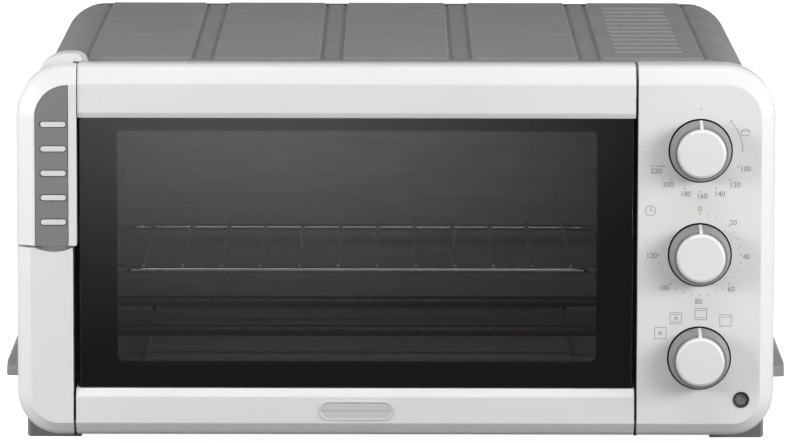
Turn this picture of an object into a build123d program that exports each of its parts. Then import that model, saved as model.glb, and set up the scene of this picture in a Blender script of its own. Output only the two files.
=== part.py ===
from build123d import *

import os
from math import cos, pi, sin

# Electric countertop oven: grey steel case, white front, drop-down glass door, three knobs.
#
# All sizes are in millimetres. X runs to the right seen from the front, Z runs up and Y runs to
# the back. A place along the oven is given as a depth behind the flat face of the door, so that
# a depth of zero is that face and a negative depth stands proud of it.

# Driving sizes of the whole oven
FASCIA_HALF_WIDTH = 219.5
FASCIA_TOP = 223.8
FASCIA_BOTTOM = 8.0
FASCIA_DEPTH = 24.2
FASCIA_CORNER_RADIUS = 30.0
CASE_HALF_WIDTH = 207.5
CASE_TOP = 226.4
CASE_BOTTOM = 12.0
CASE_CORNER_RADIUS = 24.0
CASE_REAR = 354.0
KNOB_REACH = 18.0
SPACER_REACH = 18.0
FRONT_Y = KNOB_REACH - (KNOB_REACH + CASE_REAR + SPACER_REACH) / 2

# Sheet and moulding thicknesses, and the gaps between pieces
SHEET = 0.6
HEAVY_SHEET = 0.8
PLATE_THICK = 1.2
MOULDED_WALL = 3.0
FIT_GAP = 0.2
RUNNING_CLEARANCE = 0.05

# Ranges that reach past the whole oven, for cutting
ALL_X = (-250.0, 250.0)
ALL_DEPTHS = (-30.0, 400.0)
ALL_Z = (-10.0, 250.0)
PAST = 1.0

# Rim of the front: half width, foot, top and corner radius of its outline at each depth
FASCIA_RIM = (
    (0.0, 209.5, 15.5, 213.3, 20.0),
    (5.5, 217.8, 8.9, 221.9, 28.3),
    (9.0, 219.2, 8.2, 223.4, 29.7),
    (14.0, FASCIA_HALF_WIDTH, FASCIA_BOTTOM, FASCIA_TOP, FASCIA_CORNER_RADIUS),
    (FASCIA_DEPTH, FASCIA_HALF_WIDTH, FASCIA_BOTTOM, FASCIA_TOP, FASCIA_CORNER_RADIUS),
)
FASCIA_ROOM = (
    (3.6, 212.0, 13.6, 216.0, 22.5),
    (9.0, 216.4, 10.8, 220.6, 27.0),
    (30.2, 216.4, 10.8, 220.6, 27.0),
)
ROLL_END_DEPTH = FASCIA_RIM[3][0]

# Door, between the left column and the control panel
DOOR_X = (-185.3, 138.4)
DOOR_GAP = 1.5
COLUMN_INNER = DOOR_X[0] - DOOR_GAP
PANEL_INNER = DOOR_X[1] + DOOR_GAP
DOOR_BACK = 20.0
TOP_BAR_BOTTOM = 194.0
TOP_BAR_FLAT_BOTTOM = 197.0
BOTTOM_BAR_TOP = 35.8
BOTTOM_BAR_FLAT_TOP = 31.0
BAR_SHELL = 9.0
BAR_POCKET_X = (-168.0, 122.0)
TOP_POCKET_TOP = 219.0
BOTTOM_POCKET_FOOT = 12.0
GLASS_FACE = 3.0
GLASS_THICK = 4.0
GLASS_BACK = GLASS_FACE + GLASS_THICK
GLASS_GRIPPED = 4.5
WINDOW_X = (-161.6, 116.6)
WINDOW_Z = (49.3, 186.1)
WINDOW_CORNER_RADIUS = 4.0
INNER_FRAME_BACK = 19.0
FRAME_GRIPPED = 5.6
NAME_PLATE_CENTRE = (-22.9, 22.9)
NAME_PLATE_SIZE = (42.0, 10.4)
NAME_PLATE_PROUD = 0.8

# Grip at the door's upper left corner
GRIP_PROUD = 1.2
GRIP_BACK = 12.0
GRIP_BOTTOM = 119.2
GRIP_RIGHT = -184.4
GRIP_SIDE_WALL = 2.5
GRIP_FOOT_GAP = 1.2
SHELF_THICK = 5.0
NOTCH_RADIUS = 25.2
NOTCH_SINK = 2.0
NOTCH_DEPTH = 9.0
INSET_X = (-208.3, -189.3)
INSET_TOP = 212.5
INSET_CORNER_RADIUS = 18.4
INSET_GAP = 0.15
INSET_SEAT_DEPTH = 1.6
INSET_PROUD = 0.3
FLANGE_X = (-211.0, GRIP_RIGHT + 0.4)
FLANGE_DEPTHS = (10.2, 11.4)
FLANGE_Z = (130.0, 199.0)
BAR_COUNT = 5
BAR_TOP_Z = 190.1
BAR_PITCH = 14.2
BAR_X = -197.8
BAR_LENGTH = 14.6
BAR_HEIGHT = 3.0
BAR_PROUD = 0.5
BAR_SEAT_DEPTH = 0.8

# Humped rim behind the grip, as places across and up
HUMP_SIDE_X = -209.0
HUMP_FOOT_Z = 206.0
HUMP_SHOULDER = (HUMP_SIDE_X, 213.5)
HUMP_FLANK = (-199.5, 226.0)
HUMP_CREST = (-187.0, 229.6)
HUMP_FALL = (-181.2, 227.9)
HUMP_TOE = (-178.3, 223.9)
HUMP_BACK = 31.0
HUMP_LAP_FOOT = 219.0

# Hinge at the foot of the door
HINGE_DEPTH = 10.0
HINGE_Z = 14.0
HINGE_PIN_RADIUS = 2.5
HINGE_PIN_HOLE_GAP = 0.4
HINGE_PIN_REACH = 6.8
HINGE_BUSH_RADIUS = 4.0
HINGE_BUSH_LENGTH = 7.6
BRACKET_THICK = 2.4
BRACKET_FRONT = 6.6
BRACKET_Z = (12.3, 34.0)

# Rails of the fixed front, behind the door
TOP_RAIL_FRONT = 21.2
TOP_RAIL_Z = (204.0, 221.0)
BOTTOM_RAIL_FRONT = 22.6
BOTTOM_RAIL_Z = (8.6, 31.0)

# Controls
KNOB_X = 175.8
KNOB_Z = {"thermostat": 175.2, "timer": 114.6, "selector": 54.2}
CONTROL_BODY_SIZE = {"thermostat": 34.0, "timer": 44.0, "selector": 36.0}
CONTROL_BODY_LENGTH = 26.2
KNOB_GAP = 0.6
KNOB_WELL_RADIUS = 18.6
KNOB_WELL_DEPTH = 1.2
KNOB_WALL = 2.6
KNOB_BOSS_RADIUS = 6.0
SKIRT_BASE_RADIUS = 17.7
SKIRT_EDGE_DEPTH = -2.0
SKIRT_TOP_RADIUS = 15.6
SKIRT_TOP_DEPTH = -12.5
SKIRT_FACE_THICK = 2.5
CAP_RADIUS = 14.3
CAP_EDGE_RADIUS = 1.4
POINTER_PROUD = 0.5
POINTER_WIDTH = 1.8
POINTER_LAP = 2.0
POINTER_RADII = (13.0, 25.0)
SHAFT_RADIUS = 3.0
SHAFT_FRONT = SKIRT_TOP_DEPTH + 2.0
SHAFT_BACK = 40.0
SHAFT_HOLE_GAP = 1.0
LAMP_X = 200.4
LAMP_Z = 29.8
LAMP_RADIUS = 4.75
LAMP_HOLE_RADIUS = 4.35
LAMP_BARREL_RADIUS = 4.25
LAMP_LENS_RADIUS = 3.3
LAMP_RIM_DEPTH = -0.9
LAMP_CROWN_DEPTH = -1.3
LAMP_LENS_FACE = -0.6
LAMP_BORE_RADII = (3.45, 3.35)
LAMP_SEAT_DEPTH = 6.0
LAMP_HOLDER_BACK = 21.0

# Cavity, a box of flat sheets behind the front plate
PLATE_FRONT = FASCIA_DEPTH + FIT_GAP
PLATE_BACK = PLATE_FRONT + PLATE_THICK
BASE_TOP = CASE_BOTTOM + HEAVY_SHEET
CAVITY_X = (-172.5, 127.5)
CAVITY_Z = (40.0, 192.0)
CAVITY_BACK = 284.0
LEDGE_REACH = 5.0
LEDGE_THICK = 2.4
LEDGE_END_GAP = 6.0
LEDGE_START = 34.0
LEDGE_STEPS = (-24.0, 0.0, 36.0)
WALL_HOLE_RADIUS = 3.0
WALL_HOLE_RINGS = ((16.0, 8), (30.0, 14))
WALL_HOLE_MARGIN = 1.8
RIVET_PLACE = (-106.9, 46.6)
RIVET_RADIUS = 1.8

# Rack, heaters, fan and crumb tray
RACK_RAIL_Z = 97.2
RACK_DEPTHS = (58.0, 248.0)
RACK_SIDE_GAP = 2.0
RACK_CORNER_RADIUS = 14.0
RACK_LEDGE_GAP = 0.4
RAIL_RADIUS = 1.9
WIRE_RADIUS = 1.2
WIRE_SUNK = 0.5
WIRE_OVERHANG = 1.0
WIRE_COUNT = 12
WIRE_PITCH = 22.85
HEATER_RADIUS = 3.25
HEATER_DEPTHS = (95.0, 215.0)
HEATER_Z = {"upper": 178.0, "lower": 56.0}
HEATER_HOLE_GAP = 0.6
HEATER_REACH = 15.0
INSULATOR_REACH = 9.0
INSULATOR_RADIUS = 7.0
FAN_DEPTH = 160.0
FAN_Z = 130.0
FAN_DRUM_LENGTH = 19.0
FAN_DRUM_RADIUS = 50.0
FAN_HUB_RADIUS = 8.0
FAN_HUB_X = (4.0, 13.0)
FAN_SHAFT_RADIUS = 2.5
FAN_SHAFT_END = 14.0
BLADE_COUNT = 7
BLADE_SIZE = (8.0, 34.0, 1.2)
BLADE_CENTRE_RADIUS = 24.0
BLADE_TILT = 32.0
MOTOR_RADIUS = 24.0
MOTOR_LENGTH = 26.0
MOTOR_CORE_X = (6.0, 20.0)
MOTOR_CORE_HALF = (30.0, 8.0)
MOTOR_BORE_END = 16.0
TRAY_X = (CAVITY_X[0] + 24.0, CAVITY_X[1] - 24.0)
TRAY_FRONT = 30.0
TRAY_REAR = CASE_REAR + 2.0
TRAY_Z = (40.6, 43.8)
TRAY_SLOT_GAP = 3.5
TRAY_BACK_WALL_GAP = 0.4
PULL_HALF_WIDTH = 35.0
PULL_LENGTH = 11.0
PULL_Z = (39.0, 46.0)
PULL_EDGE_RADIUS = 2.5

# Outside of the case
PANEL_RISE = 1.3
PANEL_EDGE_SLOPE = 1.6
STRIP_WIDTH = 12.0
STRIP_CENTRES = (-112.5, -37.5, 37.5, 112.5)
PANEL_OUTER_EDGE = 179.5
PANEL_END = 3.0
LOUVRE_COUNT = 12
LOUVRE_PITCH = 23.5
LOUVRE_FIRST_DEPTH = 52.0
LOUVRE_X = (127.0, 168.0)
LOUVRE_SLOT = 3.2
LOUVRE_CREST = 2.4
LOUVRE_HOOD = 11.0
LOUVRE_RISE = 1.1
HOOD_DEPTHS = (130.0, 230.0)
HOOD_TIP_X = 233.6
HOOD_TIP_Z = (25.5, 31.0)
HOOD_FOOT_Z = 24.1
HOOD_TOP_Z = 92.0
HOOD_ROOF_THICK = 6.0
FOOT_DEPTHS = {"front": (45.0, 85.0), "rear": (300.0, 340.0)}
FOOT_X = (184.4, 216.8)
FOOT_EAR_TOP = 27.0
FOOT_EDGE_RADIUS = 4.0
FOOT_CORNER_RADIUS = 3.0

# Back and floor of the case; a row of slots is its first place, pitch and count
REAR_PANEL_DEPTHS = (CASE_REAR - 1.0 - HEAVY_SHEET, CASE_REAR - 1.0)
REAR_SLOT_HEIGHT = 3.5
CAVITY_VENT_SIZE = 22.0
CAVITY_VENT_X = (-150.0, 34.0, 9)
CAVITY_VENT_Z = (150.0, 12.0, 4)
CONTROL_VENT_X = (150.0, 192.0)
CONTROL_VENT_Z = (90.0, 11.0, 9)
TRAY_EXIT_Z = (38.0, 47.0)
BASE_SLOT_X = (145.0, 180.0)
BASE_SLOT_DEPTHS = (90.0, 14.0, 8)
BASE_SLOT_WIDTH = 4.0
GLAND_X = 172.0
GLAND_Z = 50.0
GLAND_RADIUS = 6.0
GLAND_FLANGE_RADIUS = 9.0
GLAND_BORE_RADIUS = 3.6
GLAND_DEPTHS = (CASE_REAR - 12.0, CASE_REAR + 9.0)
GLAND_FLANGE_DEPTHS = (REAR_PANEL_DEPTHS[1], CASE_REAR + 3.0)
TERMINAL_BLOCK = ((150.0, 190.0), (292.0, 316.0), (BASE_TOP, 33.0))
HEAT_SHIELD = ((143.0, 143.8), (PLATE_BACK, 105.0), (BASE_TOP, 216.0))
SPACER_X = 150.0
SPACER_Z = 206.0
SPACER_RADIUS = 7.0
SCREW_RADIUS = 3.2
SCREW_PLACES = ((-198, 60), (-198, 150), (198, 60), (198, 150), (-90, 219), (90, 219))


def slab(x_range, depth_range, z_range):
    """A box between two places across, two depths and two heights."""
    size = [high - low for low, high in (x_range, depth_range, z_range)]
    low_corner = (x_range[0], FRONT_Y + depth_range[0], z_range[0])
    return Pos(*low_corner) * Box(*size, align=(Align.MIN, Align.MIN, Align.MIN))


def facing(depth):
    """A plane that faces the front at a depth, with X across and Z up."""
    return Plane(origin=(0, FRONT_Y + depth, 0), x_dir=(1, 0, 0), z_dir=(0, -1, 0))


def sideways(x, depth=0.0, z=0.0):
    """A plane square to X, with Y to the back and Z up."""
    return Plane(origin=(x, depth, z), x_dir=(0, 1, 0), z_dir=(1, 0, 0))


def cut_out(sketch, depth_range):
    """A flat outline, drawn across and up, given thickness between two depths."""
    return extrude(facing(depth_range[1]) * sketch, amount=depth_range[1] - depth_range[0])


def prism_across(points, x_range):
    """A straight moulding along X; its outline is (depth, height) points."""
    outline = make_face(Polyline(*[(FRONT_Y + depth, z) for depth, z in points], close=True))
    return extrude(sideways(x_range[0]) * outline, amount=x_range[1] - x_range[0])


def rod_across(x_range, depth, z, radius):
    """A round rod along X."""
    circle = sideways(x_range[0], FRONT_Y + depth, z) * Circle(radius)
    return extrude(circle, amount=x_range[1] - x_range[0])


def rod_deep(x, depth_range, z, radius):
    """A round rod along Y."""
    return cut_out(Pos(x, z) * Circle(radius), depth_range)


def turned(x, z, outline):
    """A solid turned about an axis that runs front to back; the outline is (radius, depth) points."""
    profile = make_face(Polyline(*[(radius, FRONT_Y + depth) for radius, depth in outline], close=True))
    return Pos(x, 0, z) * revolve(profile, axis=Axis.Y)


def rounded_window(x_range, z_range, radius):
    """A rounded rectangle drawn across and up."""
    width = x_range[1] - x_range[0]
    height = z_range[1] - z_range[0]
    centre = Pos(sum(x_range) / 2, sum(z_range) / 2)
    return centre * RectangleRounded(width, height, radius)


def on_side(solid, side):
    """A piece drawn on the right side of the oven, or its mirror image on the left."""
    return solid if side == "right" else mirror(solid, about=Plane.YZ)


def fascia_loft(outlines, proud=0.0):
    """A body whose outline at each depth is a rounded rectangle; a grip's stands a little proud."""
    sections = []
    for depth, half, foot, top, radius in outlines:
        window = rounded_window((-half, half), (foot, top), radius)
        sections.append(facing(depth - proud) * window)
    return loft(sections, ruled=True)


def case_outline(offset=0.0):
    """The case seen from the front: upright sides and round upper corners, moved out by an offset."""
    half = CASE_HALF_WIDTH + offset
    radius = CASE_CORNER_RADIUS + offset
    tall = rounded_window((-half, half), (CASE_BOTTOM - 2 * radius, CASE_TOP + offset), radius)
    below = Pos(0, CASE_BOTTOM - 2 * radius) * Rectangle(3 * half, 4 * radius)
    return tall - below


def corner_hood():
    """The humped rim behind the grip, which laps over the upper left corner of the case."""
    edge = [
        Line((HUMP_SIDE_X, HUMP_FOOT_Z), HUMP_SHOULDER),
        ThreePointArc(HUMP_SHOULDER, HUMP_FLANK, HUMP_CREST),
        ThreePointArc(HUMP_CREST, HUMP_FALL, HUMP_TOE),
        Line(HUMP_TOE, (HUMP_TOE[0], HUMP_FOOT_Z)),
        Line((HUMP_TOE[0], HUMP_FOOT_Z), (HUMP_SIDE_X, HUMP_FOOT_Z)),
    ]
    outline = make_face(edge)
    beside_door = slab((ALL_X[0], COLUMN_INNER), ALL_DEPTHS, ALL_Z)
    behind_grip = cut_out(outline, (ROLL_END_DEPTH, FASCIA_DEPTH)) & beside_door
    over_rail = cut_out(outline, (TOP_RAIL_FRONT, FASCIA_DEPTH))
    lap = cut_out(outline, (FASCIA_DEPTH, HUMP_BACK))
    lap -= cut_out(case_outline(FIT_GAP), (FASCIA_DEPTH, HUMP_BACK + PAST))
    lap &= slab(ALL_X, ALL_DEPTHS, (HUMP_LAP_FOOT, ALL_Z[1]))
    return behind_grip + over_rail + lap


def hinge_pin_hole(inner_face, side):
    """Hole in a fixed moulding's inner wall that a hinge pin passes through."""
    reach = (inner_face - PAST, inner_face + 2 * MOULDED_WALL)
    if side == "left":
        reach = (inner_face - 2 * MOULDED_WALL, inner_face + PAST)
    return rod_across(reach, HINGE_DEPTH, HINGE_Z, HINGE_PIN_RADIUS + HINGE_PIN_HOLE_GAP)


def left_column(blank):
    """Fixed left end of the front: bare below, set back behind the grip above."""
    beside_door = (ALL_X[0], COLUMN_INNER)
    column = blank & slab(beside_door, (0, FASCIA_DEPTH), ALL_Z)
    room_x = (ALL_X[0], COLUMN_INNER - MOULDED_WALL)
    column -= fascia_loft(FASCIA_ROOM) & slab(room_x, ALL_DEPTHS, ALL_Z)
    shelf_top = GRIP_BOTTOM - GRIP_FOOT_GAP
    shelf_foot = shelf_top - SHELF_THICK
    wall_back = ROLL_END_DEPTH + MOULDED_WALL
    column += blank & slab(beside_door, (ROLL_END_DEPTH, wall_back), (shelf_foot, ALL_Z[1]))
    column += blank & slab(beside_door, (0, wall_back), (shelf_foot, shelf_top))
    column -= slab(ALL_X, (ALL_DEPTHS[0], ROLL_END_DEPTH), (shelf_top, ALL_Z[1]))
    column -= rod_deep(BAR_X, (-PAST, NOTCH_DEPTH), shelf_top + NOTCH_RADIUS - NOTCH_SINK, NOTCH_RADIUS)
    return column + corner_hood() - hinge_pin_hole(COLUMN_INNER, "left")


def control_panel(blank):
    """Fixed right end of the front, with a shallow well and a shaft hole for each knob, and the lamp hole."""
    panel = blank & slab((PANEL_INNER, ALL_X[1]), (0, FASCIA_DEPTH), ALL_Z)
    room_x = (PANEL_INNER + MOULDED_WALL, ALL_X[1])
    panel -= fascia_loft(FASCIA_ROOM) & slab(room_x, ALL_DEPTHS, ALL_Z)
    for z in KNOB_Z.values():
        panel -= rod_deep(KNOB_X, (-PAST, KNOB_WELL_DEPTH), z, KNOB_WELL_RADIUS)
        panel -= rod_deep(KNOB_X, (-PAST, FASCIA_DEPTH), z, SHAFT_RADIUS + SHAFT_HOLE_GAP)
    panel -= rod_deep(LAMP_X, (-PAST, FASCIA_DEPTH), LAMP_Z, LAMP_HOLE_RADIUS)
    return panel - hinge_pin_hole(PANEL_INNER, "right")


def front_rails():
    """The two rails of the fixed front that join column and panel behind the door."""
    span = (COLUMN_INNER, PANEL_INNER)
    top = slab(span, (TOP_RAIL_FRONT, FASCIA_DEPTH), TOP_RAIL_Z)
    top -= slab((ALL_X[0], HUMP_TOE[0] + FIT_GAP), ALL_DEPTHS, (HUMP_FOOT_Z - FIT_GAP, ALL_Z[1]))
    bottom = slab(span, (BOTTOM_RAIL_FRONT, FASCIA_DEPTH), BOTTOM_RAIL_Z)
    return top, bottom


def front_plate():
    """Steel plate that the cavity, the controls and the front mouldings are fastened to."""
    plate = cut_out(case_outline(-SHEET - FIT_GAP), (PLATE_FRONT, PLATE_BACK))
    plate &= slab(ALL_X, ALL_DEPTHS, (BASE_TOP, ALL_Z[1]))
    plate -= slab(CAVITY_X, ALL_DEPTHS, CAVITY_Z)
    for z in KNOB_Z.values():
        plate -= rod_deep(KNOB_X, ALL_DEPTHS, z, SHAFT_RADIUS + SHAFT_HOLE_GAP)
    return plate


def raised_panels(depths):
    """Five flat panels pressed up out of the case top, with sloped edges."""
    edges = [-PANEL_OUTER_EDGE]
    for centre in STRIP_CENTRES:
        edges += [centre - STRIP_WIDTH / 2, centre + STRIP_WIDTH / 2]
    edges.append(PANEL_OUTER_EDGE)
    foot_z = CASE_TOP - SHEET / 2
    crown_z = CASE_TOP + PANEL_RISE
    panels = []
    for left, right in zip(edges[0::2], edges[1::2]):
        crown_x = (left + PANEL_EDGE_SLOPE, right - PANEL_EDGE_SLOPE)
        corners = [(left, foot_z), (crown_x[0], crown_z), (crown_x[1], crown_z), (right, foot_z)]
        panels.append(cut_out(make_face(Polyline(*corners, close=True)), depths))
    return panels


def louvre_hood(front):
    """Low hood pressed up behind a louvre slot: steep in front, falling gently to the back."""
    foot_z = CASE_TOP + PANEL_RISE - SHEET
    crest = (FRONT_Y + front + LOUVRE_CREST, CASE_TOP + PANEL_RISE + LOUVRE_RISE)
    corners = [(FRONT_Y + front, foot_z), crest, (FRONT_Y + front + LOUVRE_HOOD, foot_z)]
    outline = Plane.YZ.offset(LOUVRE_X[0]) * make_face(Polyline(*corners, close=True))
    return extrude(outline, amount=LOUVRE_X[1] - LOUVRE_X[0])


def outer_case():
    """Steel wrap of left side, top and right side, with raised panels and a row of louvres."""
    depths = (PLATE_FRONT, CASE_REAR)
    wrap = cut_out(case_outline(), depths) - cut_out(case_outline(-SHEET), ALL_DEPTHS)
    for panel in raised_panels((PLATE_FRONT + PANEL_END, CASE_REAR - PANEL_END)):
        wrap += panel
    for number in range(LOUVRE_COUNT):
        slot_front = LOUVRE_FIRST_DEPTH + number * LOUVRE_PITCH - LOUVRE_SLOT / 2
        slot_back = slot_front + LOUVRE_SLOT
        wrap -= slab(LOUVRE_X, (slot_front, slot_back), (CASE_TOP - 2 * SHEET, ALL_Z[1]))
        wrap += louvre_hood(slot_back)
    return wrap


def steps(first, pitch, count):
    """Evenly spaced places."""
    return [first + number * pitch for number in range(count)]


def rear_panel():
    """Back of the oven: vent slots, the way out for the crumb tray and the hole for the cord gland."""
    panel = cut_out(case_outline(-SHEET - FIT_GAP), REAR_PANEL_DEPTHS)
    panel &= slab(ALL_X, ALL_DEPTHS, (BASE_TOP + FIT_GAP, ALL_Z[1]))
    for x in steps(*CAVITY_VENT_X):
        for z in steps(*CAVITY_VENT_Z):
            panel -= slab((x, x + CAVITY_VENT_SIZE), ALL_DEPTHS, (z, z + REAR_SLOT_HEIGHT))
    for z in steps(*CONTROL_VENT_Z):
        panel -= slab(CONTROL_VENT_X, ALL_DEPTHS, (z, z + REAR_SLOT_HEIGHT))
    panel -= slab((TRAY_X[0] - TRAY_SLOT_GAP, TRAY_X[1] + TRAY_SLOT_GAP), ALL_DEPTHS, TRAY_EXIT_Z)
    return panel - rod_deep(GLAND_X, ALL_DEPTHS, GLAND_Z, GLAND_RADIUS + FIT_GAP)


def base_plate():
    """Floor of the case, with cooling slots below the controls."""
    inner = CASE_HALF_WIDTH - SHEET
    depths = (PLATE_FRONT + FIT_GAP, REAR_PANEL_DEPTHS[1])
    plate = slab((-inner, inner), depths, (CASE_BOTTOM, BASE_TOP))
    for depth in steps(*BASE_SLOT_DEPTHS):
        plate -= slab(BASE_SLOT_X, (depth, depth + BASE_SLOT_WIDTH), ALL_Z)
    return plate


def foot(side, depths):
    """Moulded foot: a block under the case with an ear up its side."""
    block = slab(FOOT_X, depths, (0, CASE_BOTTOM))
    ear = slab((CASE_HALF_WIDTH, FOOT_X[1]), depths, (0, FOOT_EAR_TOP))
    solid = block + ear
    upper_edge = solid.edges().filter_by(Axis.Y).sort_by(Axis.X)[-2:].sort_by(Axis.Z)[-1:]
    solid = fillet(upper_edge, FOOT_EDGE_RADIUS)
    corners = solid.edges().filter_by(Axis.Z).sort_by(Axis.X)[-2:]
    return on_side(fillet(corners, FOOT_CORNER_RADIUS), side)


def side_handle(side):
    """Carrying hood on the side of the case, open below for the fingers."""
    base_x = CASE_HALF_WIDTH
    room_tip_x = HOOD_TIP_X - MOULDED_WALL
    outer = [
        (base_x, HOOD_FOOT_Z),
        (HOOD_TIP_X, HOOD_TIP_Z[0]),
        (HOOD_TIP_X, HOOD_TIP_Z[1]),
        (base_x, HOOD_TOP_Z),
    ]
    room = [
        (base_x - PAST, HOOD_FOOT_Z - PAST),
        (room_tip_x, HOOD_FOOT_Z - PAST),
        (room_tip_x, HOOD_TIP_Z[1] - PAST),
        (base_x - PAST, HOOD_TOP_Z - HOOD_ROOF_THICK),
    ]
    room_depths = (HOOD_DEPTHS[0] + MOULDED_WALL, HOOD_DEPTHS[1] - MOULDED_WALL)
    hood = cut_out(make_face(Polyline(*outer, close=True)), HOOD_DEPTHS)
    hood -= cut_out(make_face(Polyline(*room, close=True)), room_depths)
    return on_side(hood, side)


def ledge_tops():
    """Heights of the pressed ledges on the side walls; the rack lies on the middle one."""
    rack_ledge = RACK_RAIL_Z - RAIL_RADIUS - RACK_LEDGE_GAP
    return [rack_ledge + step for step in LEDGE_STEPS]


def cavity_side_wall(side):
    """Side wall of the cavity with its ledges and the holes for the heater ends."""
    x_range = (CAVITY_X[0] - SHEET, CAVITY_X[0])
    ledge_x = (CAVITY_X[0], CAVITY_X[0] + LEDGE_REACH)
    if side == "right":
        x_range = (CAVITY_X[1], CAVITY_X[1] + SHEET)
        ledge_x = (CAVITY_X[1] - LEDGE_REACH, CAVITY_X[1])
    wall = slab(x_range, (PLATE_BACK, CAVITY_BACK), CAVITY_Z)
    for top in ledge_tops():
        wall += slab(ledge_x, (LEDGE_START, CAVITY_BACK - LEDGE_END_GAP), (top - LEDGE_THICK, top))
    hole_x = (x_range[0] - PAST, x_range[1] + PAST)
    for depth in HEATER_DEPTHS:
        for z in HEATER_Z.values():
            wall -= rod_across(hole_x, depth, z, HEATER_RADIUS + HEATER_HOLE_GAP)
    return wall


def fan_grille_holes():
    """Rings of holes in front of the fan, left out where a ledge crosses them."""
    reach = WALL_HOLE_RADIUS + LEDGE_THICK / 2 + WALL_HOLE_MARGIN
    holes = []
    for ring, count in WALL_HOLE_RINGS:
        for number in range(count):
            turn = 2 * pi * number / count
            z = FAN_Z + ring * sin(turn)
            if all(abs(z - (top - LEDGE_THICK / 2)) > reach for top in ledge_tops()):
                across = (CAVITY_X[1] - PAST, CAVITY_X[1] + SHEET + PAST)
                holes.append(rod_across(across, FAN_DEPTH + ring * cos(turn), z, WALL_HOLE_RADIUS))
    return holes


def cavity_walls():
    """Five sheets that make the cooking space."""
    x_range = (CAVITY_X[0] - SHEET, CAVITY_X[1] + SHEET)
    depths = (PLATE_BACK, CAVITY_BACK)
    foot, top = CAVITY_Z
    back = slab(x_range, (CAVITY_BACK, CAVITY_BACK + SHEET), (foot - SHEET, top + SHEET))
    slot_x = (TRAY_X[0] - TRAY_SLOT_GAP, TRAY_X[1] + TRAY_SLOT_GAP)
    back -= slab(slot_x, ALL_DEPTHS, (TRAY_Z[0] - TRAY_BACK_WALL_GAP, TRAY_Z[1] + TRAY_BACK_WALL_GAP))
    right = cavity_side_wall("right")
    for hole in fan_grille_holes():
        right -= hole
    return {
        "cavity_roof": slab(x_range, depths, (top, top + SHEET)),
        "cavity_floor": slab(x_range, depths, (foot - SHEET, foot)),
        "cavity_left_wall": cavity_side_wall("left"),
        "cavity_right_wall": right,
        "cavity_back_wall": back,
    }


def heaters():
    """Straight sheathed rods, two up and two down, and their ceramic end blocks."""
    left, right = CAVITY_X
    nodes = {}
    for level, z in HEATER_Z.items():
        reach = (left - HEATER_REACH, right + HEATER_REACH)
        rods = [rod_across(reach, depth, z, HEATER_RADIUS) for depth in HEATER_DEPTHS]
        nodes[f"{level}_heaters"] = Compound(rods)
    blocks = []
    for z in HEATER_Z.values():
        for depth in HEATER_DEPTHS:
            for ends in ((left - INSULATOR_REACH, left - SHEET), (right + SHEET, right + INSULATOR_REACH)):
                block = rod_across(ends, depth, z, INSULATOR_RADIUS)
                blocks.append(block - rod_across(ends, depth, z, HEATER_RADIUS))
    nodes["heater_insulators"] = Compound(blocks)
    return nodes


def fan_parts():
    """Fan wheel beside the right wall, its drum and its motor."""
    wall_x = CAVITY_X[1] + SHEET
    drum_end = wall_x + FAN_DRUM_LENGTH
    drum = rod_across((wall_x, drum_end), FAN_DEPTH, FAN_Z, FAN_DRUM_RADIUS)
    drum -= rod_across((wall_x - PAST, drum_end - SHEET), FAN_DEPTH, FAN_Z, FAN_DRUM_RADIUS - SHEET)
    drum -= rod_across((wall_x, drum_end + PAST), FAN_DEPTH, FAN_Z, FAN_SHAFT_RADIUS + SHAFT_HOLE_GAP)
    hub_x = (wall_x + FAN_HUB_X[0], wall_x + FAN_HUB_X[1])
    wheel = rod_across(hub_x, FAN_DEPTH, FAN_Z, FAN_HUB_RADIUS)
    for number in range(BLADE_COUNT):
        blade = Pos(0, BLADE_CENTRE_RADIUS, 0) * Rot(0, BLADE_TILT, 0) * Box(*BLADE_SIZE)
        place = Pos(sum(hub_x) / 2, FRONT_Y + FAN_DEPTH, FAN_Z) * Rot(360 * number / BLADE_COUNT, 0, 0)
        wheel += place * blade
    wheel += rod_across((hub_x[1], drum_end + FAN_SHAFT_END), FAN_DEPTH, FAN_Z, FAN_SHAFT_RADIUS)
    motor = rod_across((drum_end + FIT_GAP, drum_end + MOTOR_LENGTH), FAN_DEPTH, FAN_Z, MOTOR_RADIUS)
    half_deep, half_high = MOTOR_CORE_HALF
    core_x = (drum_end + MOTOR_CORE_X[0], drum_end + MOTOR_CORE_X[1])
    core_depths = (FAN_DEPTH - half_deep, FAN_DEPTH + half_deep)
    motor += slab(core_x, core_depths, (FAN_Z - half_high, FAN_Z + half_high))
    bore_x = (drum_end, drum_end + MOTOR_BORE_END)
    motor -= rod_across(bore_x, FAN_DEPTH, FAN_Z, FAN_SHAFT_RADIUS + RUNNING_CLEARANCE)
    return {"fan_housing": drum, "convection_fan": wheel, "fan_motor": motor}


def control_body(z, size):
    """Switch or regulator behind the plate, with a bush for its shaft."""
    depths = (PLATE_BACK + FIT_GAP, PLATE_BACK + FIT_GAP + CONTROL_BODY_LENGTH)
    body = slab((KNOB_X - size / 2, KNOB_X + size / 2), depths, (z - size / 2, z + size / 2))
    bore_depths = (depths[0] - PAST, SHAFT_BACK + FIT_GAP)
    return body - rod_deep(KNOB_X, bore_depths, z, SHAFT_RADIUS + RUNNING_CLEARANCE)


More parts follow.
